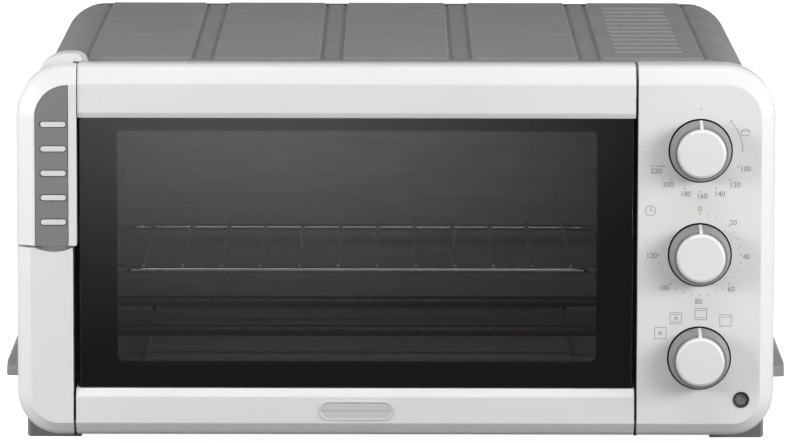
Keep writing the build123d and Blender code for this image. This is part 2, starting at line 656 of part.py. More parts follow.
def knob(z):
    """Skirt, white cap with its pointer rib, and shaft of one knob."""
    skirt_line = [(SKIRT_BASE_RADIUS, -KNOB_GAP), (SKIRT_BASE_RADIUS, SKIRT_EDGE_DEPTH)]
    skirt_line.append((SKIRT_TOP_RADIUS, SKIRT_TOP_DEPTH))
    skirt_outline = [(0, -KNOB_GAP)] + skirt_line + [(0, SKIRT_TOP_DEPTH)]
    room_end = SKIRT_TOP_DEPTH + SKIRT_FACE_THICK
    room_outline = [
        (KNOB_BOSS_RADIUS, 0),
        (SKIRT_BASE_RADIUS - KNOB_WALL, 0),
        (SKIRT_TOP_RADIUS - KNOB_WALL, room_end),
        (KNOB_BOSS_RADIUS, room_end),
    ]
    shaft = rod_deep(KNOB_X, (SHAFT_FRONT, SHAFT_BACK), z, SHAFT_RADIUS)
    skirt = turned(KNOB_X, z, skirt_outline) - turned(KNOB_X, z, room_outline) - shaft
    cap = rod_deep(KNOB_X, (-KNOB_REACH, SKIRT_TOP_DEPTH), z, CAP_RADIUS)
    cap = fillet(cap.edges().filter_by(GeomType.CIRCLE).sort_by(Axis.Y)[0], CAP_EDGE_RADIUS)
    rib_face = SKIRT_TOP_DEPTH - POINTER_LAP
    rib_outline = [(0, -KNOB_GAP)]
    rib_outline += [(radius + POINTER_PROUD, depth) for radius, depth in skirt_line]
    rib_outline += [(CAP_RADIUS - PAST, rib_face), (0, rib_face)]
    rib_x = (KNOB_X - POINTER_WIDTH / 2, KNOB_X + POINTER_WIDTH / 2)
    rib = turned(KNOB_X, z, rib_outline)
    rib &= slab(rib_x, ALL_DEPTHS, (z + POINTER_RADII[0], z + POINTER_RADII[1]))
    rib -= turned(KNOB_X, z, skirt_outline)
    return skirt, cap + rib, shaft


def door_top_bar(blank):
    """White upper bar of the door, which holds the glass from above."""
    bar = blank & slab((FLANGE_X[1], DOOR_X[1]), (0, DOOR_BACK), (TOP_BAR_BOTTOM, ALL_Z[1]))
    below = TOP_BAR_BOTTOM - PAST
    lip = [
        (-PAST, TOP_BAR_FLAT_BOTTOM),
        (-PAST, below),
        (GLASS_FACE, below),
        (GLASS_FACE, TOP_BAR_BOTTOM),
        (0, TOP_BAR_FLAT_BOTTOM),
    ]
    bar -= prism_across(lip, ALL_X)
    bar -= slab(ALL_X, (GLASS_FACE, GLASS_BACK), (below, TOP_BAR_BOTTOM + GLASS_GRIPPED))
    bar -= slab(ALL_X, (GLASS_BACK, INNER_FRAME_BACK), (below, TOP_BAR_BOTTOM + FRAME_GRIPPED + FIT_GAP))
    pocket_depths = (GLASS_BACK + MOULDED_WALL, ALL_DEPTHS[1])
    return bar - slab(BAR_POCKET_X, pocket_depths, (TOP_BAR_BOTTOM + BAR_SHELL, TOP_POCKET_TOP))


def door_bottom_bar(blank):
    """White lower bar of the door, bored at both ends for the hinge bushes."""
    bar = blank & slab(DOOR_X, (0, DOOR_BACK), (0, BOTTOM_BAR_TOP))
    above = BOTTOM_BAR_TOP + PAST
    lip = [
        (-PAST, BOTTOM_BAR_FLAT_TOP),
        (0, BOTTOM_BAR_FLAT_TOP),
        (GLASS_FACE, BOTTOM_BAR_TOP),
        (GLASS_FACE, above),
        (-PAST, above),
    ]
    bar -= prism_across(lip, ALL_X)
    bar -= slab(ALL_X, (GLASS_FACE, GLASS_BACK), (BOTTOM_BAR_TOP - GLASS_GRIPPED, above))
    bar -= slab(ALL_X, (GLASS_BACK, INNER_FRAME_BACK), (BOTTOM_BAR_TOP - FRAME_GRIPPED - FIT_GAP, above))
    pocket_depths = (GLASS_BACK + MOULDED_WALL, ALL_DEPTHS[1])
    bar -= slab(BAR_POCKET_X, pocket_depths, (BOTTOM_POCKET_FOOT, BOTTOM_BAR_TOP - BAR_SHELL))
    for ends in bush_ranges():
        bar -= rod_across(ends, HINGE_DEPTH, HINGE_Z, HINGE_BUSH_RADIUS)
    return bar


def bush_ranges():
    """Where the two hinge bushes lie across the door."""
    left, right = DOOR_X
    return (left, left + HINGE_BUSH_LENGTH), (right - HINGE_BUSH_LENGTH, right)


def hinge_bushes():
    """Nylon bushes pressed into the ends of the bottom bar."""
    bushes = []
    for ends in bush_ranges():
        bush = rod_across(ends, HINGE_DEPTH, HINGE_Z, HINGE_BUSH_RADIUS)
        bore_ends = (ends[0] - PAST, ends[1] + PAST)
        bore = rod_across(bore_ends, HINGE_DEPTH, HINGE_Z, HINGE_PIN_RADIUS + RUNNING_CLEARANCE)
        bushes.append(bush - bore)
    return Compound(bushes)


def hinge_brackets():
    """Two steel plates inside the fixed mouldings, each with its riveted pin."""
    left_back = COLUMN_INNER - MOULDED_WALL - FIT_GAP
    right_back = PANEL_INNER + MOULDED_WALL + FIT_GAP
    left_plate = (left_back - BRACKET_THICK, left_back)
    right_plate = (right_back, right_back + BRACKET_THICK)
    spans = (
        (left_plate, (left_plate[0], DOOR_X[0] + HINGE_PIN_REACH)),
        (right_plate, (DOOR_X[1] - HINGE_PIN_REACH, right_plate[1])),
    )
    brackets = []
    for plate_x, pin_x in spans:
        bracket = slab(plate_x, (BRACKET_FRONT, FASCIA_DEPTH), BRACKET_Z)
        brackets.append(bracket + rod_across(pin_x, HINGE_DEPTH, HINGE_Z, HINGE_PIN_RADIUS))
    return Compound(brackets)


def door_glass():
    """Dark pane held between the two bars."""
    z_range = (BOTTOM_BAR_TOP - GLASS_GRIPPED, TOP_BAR_BOTTOM + GLASS_GRIPPED)
    return slab((FLANGE_X[1], DOOR_X[1]), (GLASS_FACE, GLASS_BACK), z_range)


def door_inner_frame():
    """Black steel frame behind the glass; it leaves the window open and carries the grip."""
    sheet_x = (FLANGE_X[1], DOOR_X[1] - 2 * FIT_GAP)
    sheet_z = (BOTTOM_BAR_TOP - FRAME_GRIPPED, TOP_BAR_BOTTOM + FRAME_GRIPPED)
    frame = slab(sheet_x, (GLASS_BACK, GLASS_BACK + PLATE_THICK), sheet_z)
    rim_x = (WINDOW_X[0] - PLATE_THICK, WINDOW_X[1] + PLATE_THICK)
    rim_z = (WINDOW_Z[0] - PLATE_THICK, WINDOW_Z[1] + PLATE_THICK)
    rim = rounded_window(rim_x, rim_z, WINDOW_CORNER_RADIUS + PLATE_THICK)
    frame += cut_out(rim, (GLASS_BACK, INNER_FRAME_BACK))
    frame -= cut_out(rounded_window(WINDOW_X, WINDOW_Z, WINDOW_CORNER_RADIUS), ALL_DEPTHS)
    flange = slab(FLANGE_X, FLANGE_DEPTHS, FLANGE_Z)
    web = slab((FLANGE_X[1], FLANGE_X[1] + PLATE_THICK), (GLASS_BACK, FLANGE_DEPTHS[1]), FLANGE_Z)
    return frame + flange + web


def door_handle():
    """White shell of the grip, hollow behind, with a seat for the grey inset."""
    outline = slab((ALL_X[0], GRIP_RIGHT), (ALL_DEPTHS[0], GRIP_BACK), (GRIP_BOTTOM, ALL_Z[1]))
    shell = fascia_loft(FASCIA_RIM, GRIP_PROUD) & outline
    room_x = (ALL_X[0], GRIP_RIGHT - GRIP_SIDE_WALL)
    room_z = (GRIP_BOTTOM + MOULDED_WALL, ALL_Z[1])
    shell -= fascia_loft(FASCIA_ROOM, GRIP_PROUD) & slab(room_x, ALL_DEPTHS, room_z)
    seat = cut_out(inset_outline(), (-GRIP_PROUD, INSET_SEAT_DEPTH - GRIP_PROUD))
    slot_depths = (FLANGE_DEPTHS[0] - FIT_GAP, FLANGE_DEPTHS[1] + FIT_GAP)
    slot_z = (FLANGE_Z[0] - 2 * FIT_GAP, FLANGE_Z[1] + 2 * FIT_GAP)
    return shell - seat - slab((FLANGE_X[0] - 2 * FIT_GAP, GRIP_RIGHT + PAST), slot_depths, slot_z)


def inset_outline(margin=0.0):
    """Grey inset: straight sides and foot, round upper left corner."""
    left, right = INSET_X[0] + margin, INSET_X[1] - margin
    foot, top = GRIP_BOTTOM, INSET_TOP - margin
    radius = INSET_CORNER_RADIUS
    turn = radius * (1 - sin(pi / 4))
    edge = [
        Line((left, foot), (left, top - radius)),
        ThreePointArc((left, top - radius), (left + turn, top - turn), (left + radius, top)),
        Line((left + radius, top), (right, top)),
        Line((right, top), (right, foot)),
        Line((right, foot), (left, foot)),
    ]
    return make_face(edge)


def handle_grip():
    """Grey inset and its five light bars."""
    face = -GRIP_PROUD - INSET_PROUD
    bar_back = BAR_SEAT_DEPTH - GRIP_PROUD
    inset = cut_out(inset_outline(INSET_GAP), (face, INSET_SEAT_DEPTH - GRIP_PROUD))
    bars = []
    for z in steps(BAR_TOP_Z, -BAR_PITCH, BAR_COUNT):
        place = Pos(BAR_X, z)
        seat = SlotOverall(BAR_LENGTH + 4 * INSET_GAP, BAR_HEIGHT + 4 * INSET_GAP)
        inset -= cut_out(place * seat, (face - PAST, bar_back))
        pill = place * SlotOverall(BAR_LENGTH, BAR_HEIGHT)
        bars.append(cut_out(pill, (face - BAR_PROUD, bar_back)))
    return inset, Compound(bars)


def name_plate():
    """Blank pill-shaped plate on the bottom bar."""
    return cut_out(Pos(*NAME_PLATE_CENTRE) * SlotOverall(*NAME_PLATE_SIZE), (-NAME_PLATE_PROUD, 0.0))


def wire_rack():
    """Round-cornered wire frame with wires laid across it from front to back."""
    centre = sum(CAVITY_X) / 2
    width = CAVITY_X[1] - CAVITY_X[0] - 2 * (RACK_SIDE_GAP + RAIL_RADIUS)
    depth = RACK_DEPTHS[1] - RACK_DEPTHS[0]
    middle = Plane(origin=(centre, FRONT_Y + sum(RACK_DEPTHS) / 2, RACK_RAIL_Z))
    path = (middle * RectangleRounded(width, depth, RACK_CORNER_RADIUS)).wires()[0]
    start = path.edges()[0]
    section = Plane(origin=start @ 0, z_dir=start % 0) * Circle(RAIL_RADIUS)
    rack = sweep(section, path=path)
    wire_z = RACK_RAIL_Z + RAIL_RADIUS + WIRE_RADIUS - WIRE_SUNK
    wire_depths = (RACK_DEPTHS[0] - WIRE_OVERHANG, RACK_DEPTHS[1] + WIRE_OVERHANG)
    first = centre - WIRE_PITCH * (WIRE_COUNT - 1) / 2
    for x in steps(first, WIRE_PITCH, WIRE_COUNT):
        rack += rod_deep(x, wire_depths, wire_z, WIRE_RADIUS)
    return rack


def crumb_tray():
    """Shallow tray on the cavity floor that slides out at the back, and its pull."""
    tray = slab(TRAY_X, (TRAY_FRONT, TRAY_REAR), TRAY_Z)
    room_x = (TRAY_X[0] + HEAVY_SHEET, TRAY_X[1] - HEAVY_SHEET)
    room_depths = (TRAY_FRONT + HEAVY_SHEET, TRAY_REAR - HEAVY_SHEET)
    tray -= slab(room_x, room_depths, (TRAY_Z[0] + HEAVY_SHEET, ALL_Z[1]))
    middle = sum(TRAY_X) / 2
    pull_x = (middle - PULL_HALF_WIDTH, middle + PULL_HALF_WIDTH)
    pull = slab(pull_x, (TRAY_REAR, TRAY_REAR + PULL_LENGTH), PULL_Z)
    rear_edges = pull.edges().filter_by(Axis.X).sort_by(Axis.Y)[-2:]
    return tray, fillet(rear_edges, PULL_EDGE_RADIUS)


def pilot_lamp():
    """Bezel ring, lens and holder of the pilot lamp."""
    bezel_line = [
        (LAMP_BARREL_RADIUS, LAMP_SEAT_DEPTH),
        (LAMP_BARREL_RADIUS, 0.0),
        (LAMP_RADIUS, 0.0),
        (LAMP_RADIUS, LAMP_RIM_DEPTH),
        (LAMP_BORE_RADII[0], LAMP_CROWN_DEPTH),
        (LAMP_BORE_RADII[1], LAMP_SEAT_DEPTH),
    ]
    lens_depths = (LAMP_LENS_FACE, LAMP_SEAT_DEPTH)
    holder_depths = (LAMP_SEAT_DEPTH, LAMP_HOLDER_BACK)
    return {
        "pilot_lamp_bezel": turned(LAMP_X, LAMP_Z, bezel_line),
        "pilot_lamp_lens": rod_deep(LAMP_X, lens_depths, LAMP_Z, LAMP_LENS_RADIUS),
        "pilot_lamp_holder": rod_deep(LAMP_X, holder_depths, LAMP_Z, LAMP_BARREL_RADIUS),
    }


def back_parts():
    """Gland, terminal block, heat shield, wall spacers and fasteners."""
    gland = rod_deep(GLAND_X, GLAND_DEPTHS, GLAND_Z, GLAND_RADIUS)
    gland += rod_deep(GLAND_X, GLAND_FLANGE_DEPTHS, GLAND_Z, GLAND_FLANGE_RADIUS)
    gland -= rod_deep(GLAND_X, ALL_DEPTHS, GLAND_Z, GLAND_BORE_RADIUS)
    panel_back = REAR_PANEL_DEPTHS[1]
    spacer_depths = (panel_back, CASE_REAR + SPACER_REACH)
    spacers = [rod_deep(x, spacer_depths, SPACER_Z, SPACER_RADIUS) for x in (-SPACER_X, SPACER_X)]
    heads = [rod_deep(x, (panel_back, panel_back + 2 * PAST), z, SCREW_RADIUS) for x, z in SCREW_PLACES]
    rivet_x, rivet_z = RIVET_PLACE
    return {
        "cord_gland": gland,
        "terminal_block": slab(*TERMINAL_BLOCK),
        "heat_shield": slab(*HEAT_SHIELD),
        "rear_spacers": Compound(spacers),
        "rear_screws": Compound(heads),
        "cavity_rivet": rod_deep(rivet_x, (CAVITY_BACK - PLATE_THICK, CAVITY_BACK), rivet_z, RIVET_RADIUS),
    }


def front_nodes():
    """The fixed front and the door that hangs in it."""
    blank = fascia_loft(FASCIA_RIM)
    top_rail, bottom_rail = front_rails()
    inset, bars = handle_grip()
    return {
        "left_column": left_column(blank),
        "control_panel": control_panel(blank),
        "front_top_rail": top_rail,
        "front_bottom_rail": bottom_rail,
        "hinge_brackets": hinge_brackets(),
        "hinge_bushes": hinge_bushes(),
        "door_top_bar": door_top_bar(blank),
        "door_bottom_bar": door_bottom_bar(blank),
        "door_glass": door_glass(),
        "door_inner_frame": door_inner_frame(),
        "door_handle": door_handle(),
        "handle_inset": inset,
        "handle_light_bars": bars,
        "name_plate": name_plate(),
    }


def case_nodes():
    """The case with its feet and carrying hoods."""
    nodes = {
        "front_plate": front_plate(),
        "outer_case": outer_case(),
        "rear_panel": rear_panel(),
        "base_plate": base_plate(),
    }
    for side in ("left", "right"):
        nodes[f"side_handle_{side}"] = side_handle(side)
        for end, depths in FOOT_DEPTHS.items():
            nodes[f"foot_{end}_{side}"] = foot(side, depths)
    return nodes


def control_nodes():
    """Knobs, their shafts and what they turn."""
    nodes = {}
    for name, z in KNOB_Z.items():
        skirt, cap, shaft = knob(z)
        nodes[f"{name}_knob"] = skirt
        nodes[f"{name}_cap"] = cap
        nodes[f"{name}_shaft"] = shaft
        nodes[f"{name}_body"] = control_body(z, CONTROL_BODY_SIZE[name])
    return nodes


def build():
    """Every piece of the oven by name."""
    tray, pull = crumb_tray()
    nodes = {"wire_rack": wire_rack(), "crumb_tray": tray, "tray_pull": pull}
    for group in (front_nodes, case_nodes, control_nodes, pilot_lamp):
        nodes.update(group())
    for group in (cavity_walls, heaters, fan_parts, back_parts):
        nodes.update(group())
    return nodes


os.makedirs("parts", exist_ok=True)
for node_name, solid in build().items():
    export_step(solid, f"parts/{node_name}.step")
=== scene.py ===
# %% [markdown]
# Electric countertop oven: the looks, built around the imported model
#
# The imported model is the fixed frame. Every piece made here is placed from the corners of the
# pieces in that frame, rides on one of its bodies and takes over the show from the plain solid
# that it stands for. The script is read from top to bottom: camera and light first, then one
# finish and one piece at a time.

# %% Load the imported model
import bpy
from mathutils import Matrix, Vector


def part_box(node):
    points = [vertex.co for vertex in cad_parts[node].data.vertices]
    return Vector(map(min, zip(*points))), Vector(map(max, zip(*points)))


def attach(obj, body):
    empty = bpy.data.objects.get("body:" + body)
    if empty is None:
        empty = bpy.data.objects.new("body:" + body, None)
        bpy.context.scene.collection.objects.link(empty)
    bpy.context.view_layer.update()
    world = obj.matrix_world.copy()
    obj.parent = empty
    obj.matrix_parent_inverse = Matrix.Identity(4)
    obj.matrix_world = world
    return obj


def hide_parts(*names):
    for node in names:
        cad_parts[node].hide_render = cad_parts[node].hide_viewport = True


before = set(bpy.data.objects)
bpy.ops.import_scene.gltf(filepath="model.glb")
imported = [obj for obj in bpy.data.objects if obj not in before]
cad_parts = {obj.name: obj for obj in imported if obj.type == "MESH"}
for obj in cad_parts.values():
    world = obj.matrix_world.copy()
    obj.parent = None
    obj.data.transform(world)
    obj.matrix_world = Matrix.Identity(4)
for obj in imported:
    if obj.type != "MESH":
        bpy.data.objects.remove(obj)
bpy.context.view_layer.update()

# %% Other modules
from math import cos, pi, radians, sin

import bmesh
import bpy
from mathutils import Matrix, Vector

# %% [markdown]
# The frame says where everything is
#
# Sizes are in metres, because the frame is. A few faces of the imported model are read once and
# given names: the flat face of the front, its outer edges and the middle of each knob. Smaller
# sizes are written in millimetres and multiplied by MM, so that they read as on a drawing. Two
# points that are less than a HAIR apart are taken for the same point.

# %% Read the main places from the frame
MM = 0.001
HAIR = 0.001 * MM
ACROSS = Vector((1, 0, 0))
DEEP = Vector((0, 1, 0))
UP = Vector((0, 0, 1))


def middle(node):
    """Middle of a node's box."""
    low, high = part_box(node)
    return (low + high) / 2


panel_low, panel_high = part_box("control_panel")
column_low, column_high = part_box("left_column")
case_low, case_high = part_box("outer_case")
FRONT_Y = panel_low.y
FASCIA_LEFT, FASCIA_RIGHT = column_low.x, panel_high.x
FASCIA_FOOT, FASCIA_TOP = panel_low.z, panel_high.z
FASCIA_BACK = panel_high.y
KNOB_X = middle("timer_knob").x
KNOB_Z = {name: middle(f"{name}_shaft").z for name in ("thermostat", "timer", "selector")}
print("front face at y", round(FRONT_Y, 4), "knob heights", {k: round(z, 4) for k, z in KNOB_Z.items()})

# %% [markdown]
# Camera
#
# The photograph was taken with a long lens, from a little above the top of the oven and square to
# its front. A long lens keeps the sides nearly parallel, so the camera stands far back. Its
# distance and tilt come from how the top of the case narrows towards the back. The camera looks
# straight at the middle of the picture, with no lens shift, and is turned a tenth of a degree
# about its own line of sight.

# %% Camera
CAMERA_DISTANCE = 3.6
CAMERA_HEIGHT = 0.6128
CAMERA_SIDE = -0.0005
CAMERA_TILT = 7.58
CAMERA_ROLL = 0.1
SENSOR_WIDTH = 36.0
LENS = 286.4


def make_camera():
    """Stand the camera in front of the oven and aim it slightly down."""
    data = bpy.data.cameras.new("camera")
    data.sensor_width = SENSOR_WIDTH
    data.lens = LENS
    camera = bpy.data.objects.new("camera", data)
    bpy.context.scene.collection.objects.link(camera)
    place = Matrix.Translation((CAMERA_SIDE, FRONT_Y - CAMERA_DISTANCE, CAMERA_HEIGHT))
    aim = Matrix.Rotation(radians(90 - CAMERA_TILT), 4, "X")
    roll = Matrix.Rotation(radians(CAMERA_ROLL), 4, "Z")
    camera.matrix_world = place @ aim @ roll
    bpy.context.scene.camera = camera
    return camera


camera = make_camera()
bpy.context.scene.view_settings.view_transform = "Standard"
print("camera at", [round(v, 3) for v in camera.location], "lens", LENS)

# %% [markdown]
# Colours and nodes
#
# Colours are written as on a paint card, as sRGB hex values. Shaders work in linear light, so one
# function turns the one into the other. A second function adds any shader node, sets its inputs
# and joins it to earlier nodes: an input given a socket is linked and any other value is typed in.
# A third lays noise on a piece. Its blots are measured in millimetres, because a real grain is.

# %% Colour and node helpers
def colour(card):
    """Linear red, green, blue and alpha of an sRGB hex value."""
    parts = [int(card[i:i + 2], 16) / 255 for i in (1, 3, 5)]
    return tuple(p / 12.92 if p <= 0.04045 else ((p + 0.055) / 1.055) ** 2.4 for p in parts) + (1.0,)


def add_node(tree, kind, inputs=None, **settings):
    """Add a shader node with its settings, and its inputs as values or as sockets to link."""
    node = tree.nodes.new(kind)
    for name, value in settings.items():
        setattr(node, name, value)
    for name, value in (inputs or {}).items():
        if isinstance(value, bpy.types.NodeSocket):
            tree.links.new(value, node.inputs[name])
        else:
            node.inputs[name].default_value = value
    return node


def start_material(name):
    """A new material with an empty node tree."""
    material = bpy.data.materials.new(name)
    material.use_nodes = True
    material.node_tree.nodes.clear()
    return material, material.node_tree


def speckle(tree, size_mm, detail=2.0, stretch=(1, 1, 1)):
    """Noise whose blots are about so many millimetres wide, in the object's own space."""
    place = add_node(tree, "ShaderNodeTexCoord").outputs["Object"]
    turned = add_node(tree, "ShaderNodeMapping", {"Vector": place, "Scale": stretch})
    scale = 1 / (size_mm * MM)
    inputs = {"Vector": turned.outputs["Vector"], "Scale": scale, "Detail": detail}
    return add_node(tree, "ShaderNodeTexNoise", inputs).outputs["Fac"]


print("white card in linear light", [round(v, 3) for v in colour("#E6E6E6")])

# %% [markdown]
# Floor and light
#
# The oven stands on plain pale paper that runs off to white. Three kinds of ray see it in three
# ways. The camera sees white paper that still takes a faint shadow. Light that bounces sees a
# duller grey, because a brilliant floor would fill the undersides, which are clearly darker than
# the front. What mirrors sees a paper that is bright in one place only, a soft pool of light in
# front of the oven and to its left: the glass of the door mirrors that pool in the photograph.

# %% Floor
FLOOR_HALF = 9.0
PAPER_WHITE = "#FFFFFF"
BOUNCE_GREY = "#A3A3A3"
PAPER_GLOW = 0.95
POOL_PLACE = Vector((-0.14, FRONT_Y - 2.2, 0))
POOL_HALF = Vector((0.45, 2.0, 1))
POOL_LEVEL = 1.9
POOL_EDGE_LEVEL = 0.18


def light_path(tree, *kinds):
    """One for rays of the given kinds, otherwise nought."""
    path = add_node(tree, "ShaderNodeLightPath").outputs
    total = path[kinds[0]]
    for kind in kinds[1:]:
        total = add_node(tree, "ShaderNodeMath", {0: total, 1: path[kind]}, use_clamp=True).outputs[0]
    return total


def light_pool(tree):
    """Brightness of the paper to rays that mirror it: a soft oval pool on the floor."""
    place = add_node(tree, "ShaderNodeTexCoord").outputs["Object"]
    inputs = {"Vector": place, "Location": POOL_PLACE, "Scale": POOL_HALF}
    oval = add_node(tree, "ShaderNodeMapping", inputs, vector_type="TEXTURE").outputs["Vector"]
    radius = add_node(tree, "ShaderNodeVectorMath", {0: oval}, operation="LENGTH").outputs["Value"]
    inputs = {"Value": radius, "From Min": 1.0, "From Max": 0.0}
    inputs |= {"To Min": POOL_EDGE_LEVEL, "To Max": POOL_LEVEL}
    return add_node(tree, "ShaderNodeMapRange", inputs, interpolation_type="SMOOTHSTEP").outputs["Result"]


def pale_paper():
    """Paper that is white to the eye, grey to bounced light and has its pool for what mirrors it."""
    material, tree = start_material("white_paper_floor")
    white = colour(PAPER_WHITE)
    seen = light_path(tree, "Is Camera Ray", "Is Transmission Ray")
    inputs = {0: seen, 6: colour(BOUNCE_GREY), 7: white}
    shade = add_node(tree, "ShaderNodeMix", inputs, data_type="RGBA").outputs[2]
    glow = add_node(tree, "ShaderNodeMath", {0: seen, 1: PAPER_GLOW}, operation="MULTIPLY").outputs[0]
    inputs = {"Base Color": shade, "Emission Color": white, "Emission Strength": glow}
    inputs |= {"Roughness": 1.0, "Specular IOR Level": 0.0}
    paper = add_node(tree, "ShaderNodeBsdfPrincipled", inputs).outputs[0]
    pool = add_node(tree, "ShaderNodeEmission", {"Color": white, "Strength": light_pool(tree)}).outputs[0]
    mirrored = light_path(tree, "Is Glossy Ray")
    chosen = add_node(tree, "ShaderNodeMixShader", {0: mirrored, 1: paper, 2: pool})
    add_node(tree, "ShaderNodeOutputMaterial", {"Surface": chosen.outputs[0]})
    return material


def make_floor():
    """A large flat floor."""
    bm = bmesh.new()
    bmesh.ops.create_grid(bm, x_segments=1, y_segments=1, size=FLOOR_HALF)
    mesh = bpy.data.meshes.new("floor")
    bm.to_mesh(mesh)
    bm.free()
    mesh.materials.append(pale_paper())
    floor = bpy.data.objects.new("floor", mesh)
    bpy.context.scene.collection.objects.link(floor)


make_floor()
print("floor", 2 * FLOOR_HALF, "m across, pool of light", [round(v, 2) for v in POOL_PLACE])

# %% [markdown]
# Lamps
#
# The room is a soft white tent. Two low lamps stand close on both sides, the right one a little
# stronger: they make the slopes down both sides of the front brighter than its flat face. They
# stand only a little higher than the oven, so that its roof stays darker than its front. A large
# lamp overhead lights the upper slope and casts the soft shadows below the knobs. A very weak lamp
# under the roof of the cavity lifts its back wall and floor, which show evenly grey through the
# glass.

# %% Light
TENT_LEVEL = 0.136
MIRROR_LEVEL = 0.3
WHITE_LEVEL = 1.0
LAMPS = [
    dict(name="overhead_lamp", size=(1.6, 1.6), power=16.3, place=(0.1, -0.6, 1.9)),
    dict(name="left_lamp", size=(0.9, 0.35), power=8.8, place=(-1.0, -0.65, 0.38)),
    dict(name="right_lamp", size=(0.9, 0.35), power=9.4, place=(1.0, -0.65, 0.38)),
]
LAMP_TARGET = Vector((0.0, 0.0, 0.12))
FILL_X = -0.0225
CAVITY_FILL = dict(name="cavity_fill", size=(0.26, 0.03), power=0.085,
                   place=(FILL_X, FRONT_Y + 0.031, 0.186), target=Vector((FILL_X, 0.107, 0.05)))


def make_tent():
    """World light: white to the eye, duller where it is mirrored, and a plain soft level for the rest."""
    world = bpy.data.worlds.new("light_tent")
    world.use_nodes = True
    tree = world.node_tree
    tree.nodes.clear()
    skies = []
    for level in (TENT_LEVEL, MIRROR_LEVEL, WHITE_LEVEL):
        inputs = {"Color": colour(PAPER_WHITE), "Strength": level}
        skies.append(add_node(tree, "ShaderNodeBackground", inputs).outputs[0])
    tent, mirrored, paper = skies
    glossy = light_path(tree, "Is Glossy Ray")
    seen = light_path(tree, "Is Camera Ray", "Is Transmission Ray")
    duller = add_node(tree, "ShaderNodeMixShader", {0: glossy, 1: tent, 2: mirrored}).outputs[0]
    chosen = add_node(tree, "ShaderNodeMixShader", {0: seen, 1: duller, 2: paper}).outputs[0]
    add_node(tree, "ShaderNodeOutputWorld", {"Surface": chosen})
    bpy.context.scene.world = world


def make_lamp(name, size, power, place, target=LAMP_TARGET):
    """A flat lamp aimed at the oven, which the camera doesn't see, nor rays that pass through the glass."""
    data = bpy.data.lights.new(name, "AREA")
    data.shape = "RECTANGLE"
    data.size, data.size_y = size
    data.energy = power
    lamp = bpy.data.objects.new(name, data)
    bpy.context.scene.collection.objects.link(lamp)
    aim = (target - Vector(place)).to_track_quat("-Z", "Y").to_matrix().to_4x4()
    lamp.matrix_world = Matrix.Translation(place) @ aim
    lamp.visible_transmission = False
    lamp.visible_camera = False


make_tent()
for lamp in LAMPS + [CAVITY_FILL]:
    make_lamp(**lamp)
print("tent", TENT_LEVEL, "lamps", {lamp["name"]: lamp["power"] for lamp in LAMPS})

# %% [markdown]
# One recipe for every finish
#
# No real surface has one colour and one shine all over. Each finish here has two close shades that
# drift into each other in soft clouds, a roughness that drifts with them, and up to two fine
# reliefs, such as a mould grain or the crystals of zinc. Noise seldom leaves the middle of its
# range, so that middle is spread over the whole drift. What makes one finish differ from the next
# is the size of its clouds and grain in millimetres and the numbers of its shader. Clouds and each
# relief are given as speckle takes them, and a relief has its depth in millimetres beside it.

# %% Clouded finish
NOISE_SPREAD = (0.3, 0.7)


def clouded_finish(name, cards, roughness, drift, clouds, reliefs, shader_inputs, spread=NOISE_SPREAD):
    """A material from two paint cards, its roughness and how that drifts, clouds and reliefs."""
    material, tree = start_material(name)
    inputs = {"Value": speckle(tree, *clouds), "From Min": spread[0], "From Max": spread[1]}
    cloud = add_node(tree, "ShaderNodeMapRange", inputs).outputs["Result"]
    inputs = {0: cloud, 6: colour(cards[0]), 7: colour(cards[1])}
    shade = add_node(tree, "ShaderNodeMix", inputs, data_type="RGBA").outputs[2]
    inputs = {"Value": cloud, "From Min": NOISE_SPREAD[0], "From Max": NOISE_SPREAD[1]}
    inputs |= {"To Min": roughness + drift[0], "To Max": roughness + drift[1]}
    shine = add_node(tree, "ShaderNodeMapRange", inputs).outputs["Result"]
    surface = {"Base Color": shade, "Roughness": shine}
    for pattern, depth_mm in reliefs:
        inputs = {"Height": speckle(tree, *pattern), "Distance": depth_mm * MM, "Strength": 1.0}
        if "Normal" in surface:
            inputs["Normal"] = surface["Normal"]
        surface["Normal"] = add_node(tree, "ShaderNodeBump", inputs).outputs["Normal"]
    shader = add_node(tree, "ShaderNodeBsdfPrincipled", surface | shader_inputs)
    add_node(tree, "ShaderNodeOutputMaterial", {"Surface": shader.outputs["BSDF"]})
    return material


print("clouds drift over the noise from", *NOISE_SPREAD)

# %% [markdown]
# White plastic
#
# The front and the door bars are ABS, injection moulded in a satin mould. To the eye it is an even
# pale grey-white with a broad soft highlight, and a very fine grain that breaks the highlight up.
# Moulded ABS has an IOR of about 1.54.

# %% Satin white ABS
FLOW_MM = 60.0
PLASTIC_DRIFT = (-0.02, 0.03)


def moulded_plastic(name, card, shade_card, roughness, grain_mm, grain_depth_mm, ior=1.54):
    """Injection moulded plastic: even colour, faint flow shading and a fine grain."""
    grain = ((grain_mm, 1.0), grain_depth_mm)
    cards = (card, shade_card)
    return clouded_finish(name, cards, roughness, PLASTIC_DRIFT, (FLOW_MM,), [grain], {"IOR": ior})


white_abs = moulded_plastic("satin_white_abs", "#E8E8E8", "#E5E5E4", 0.36, 0.9, 0.006)
print("moulded", white_abs.name)
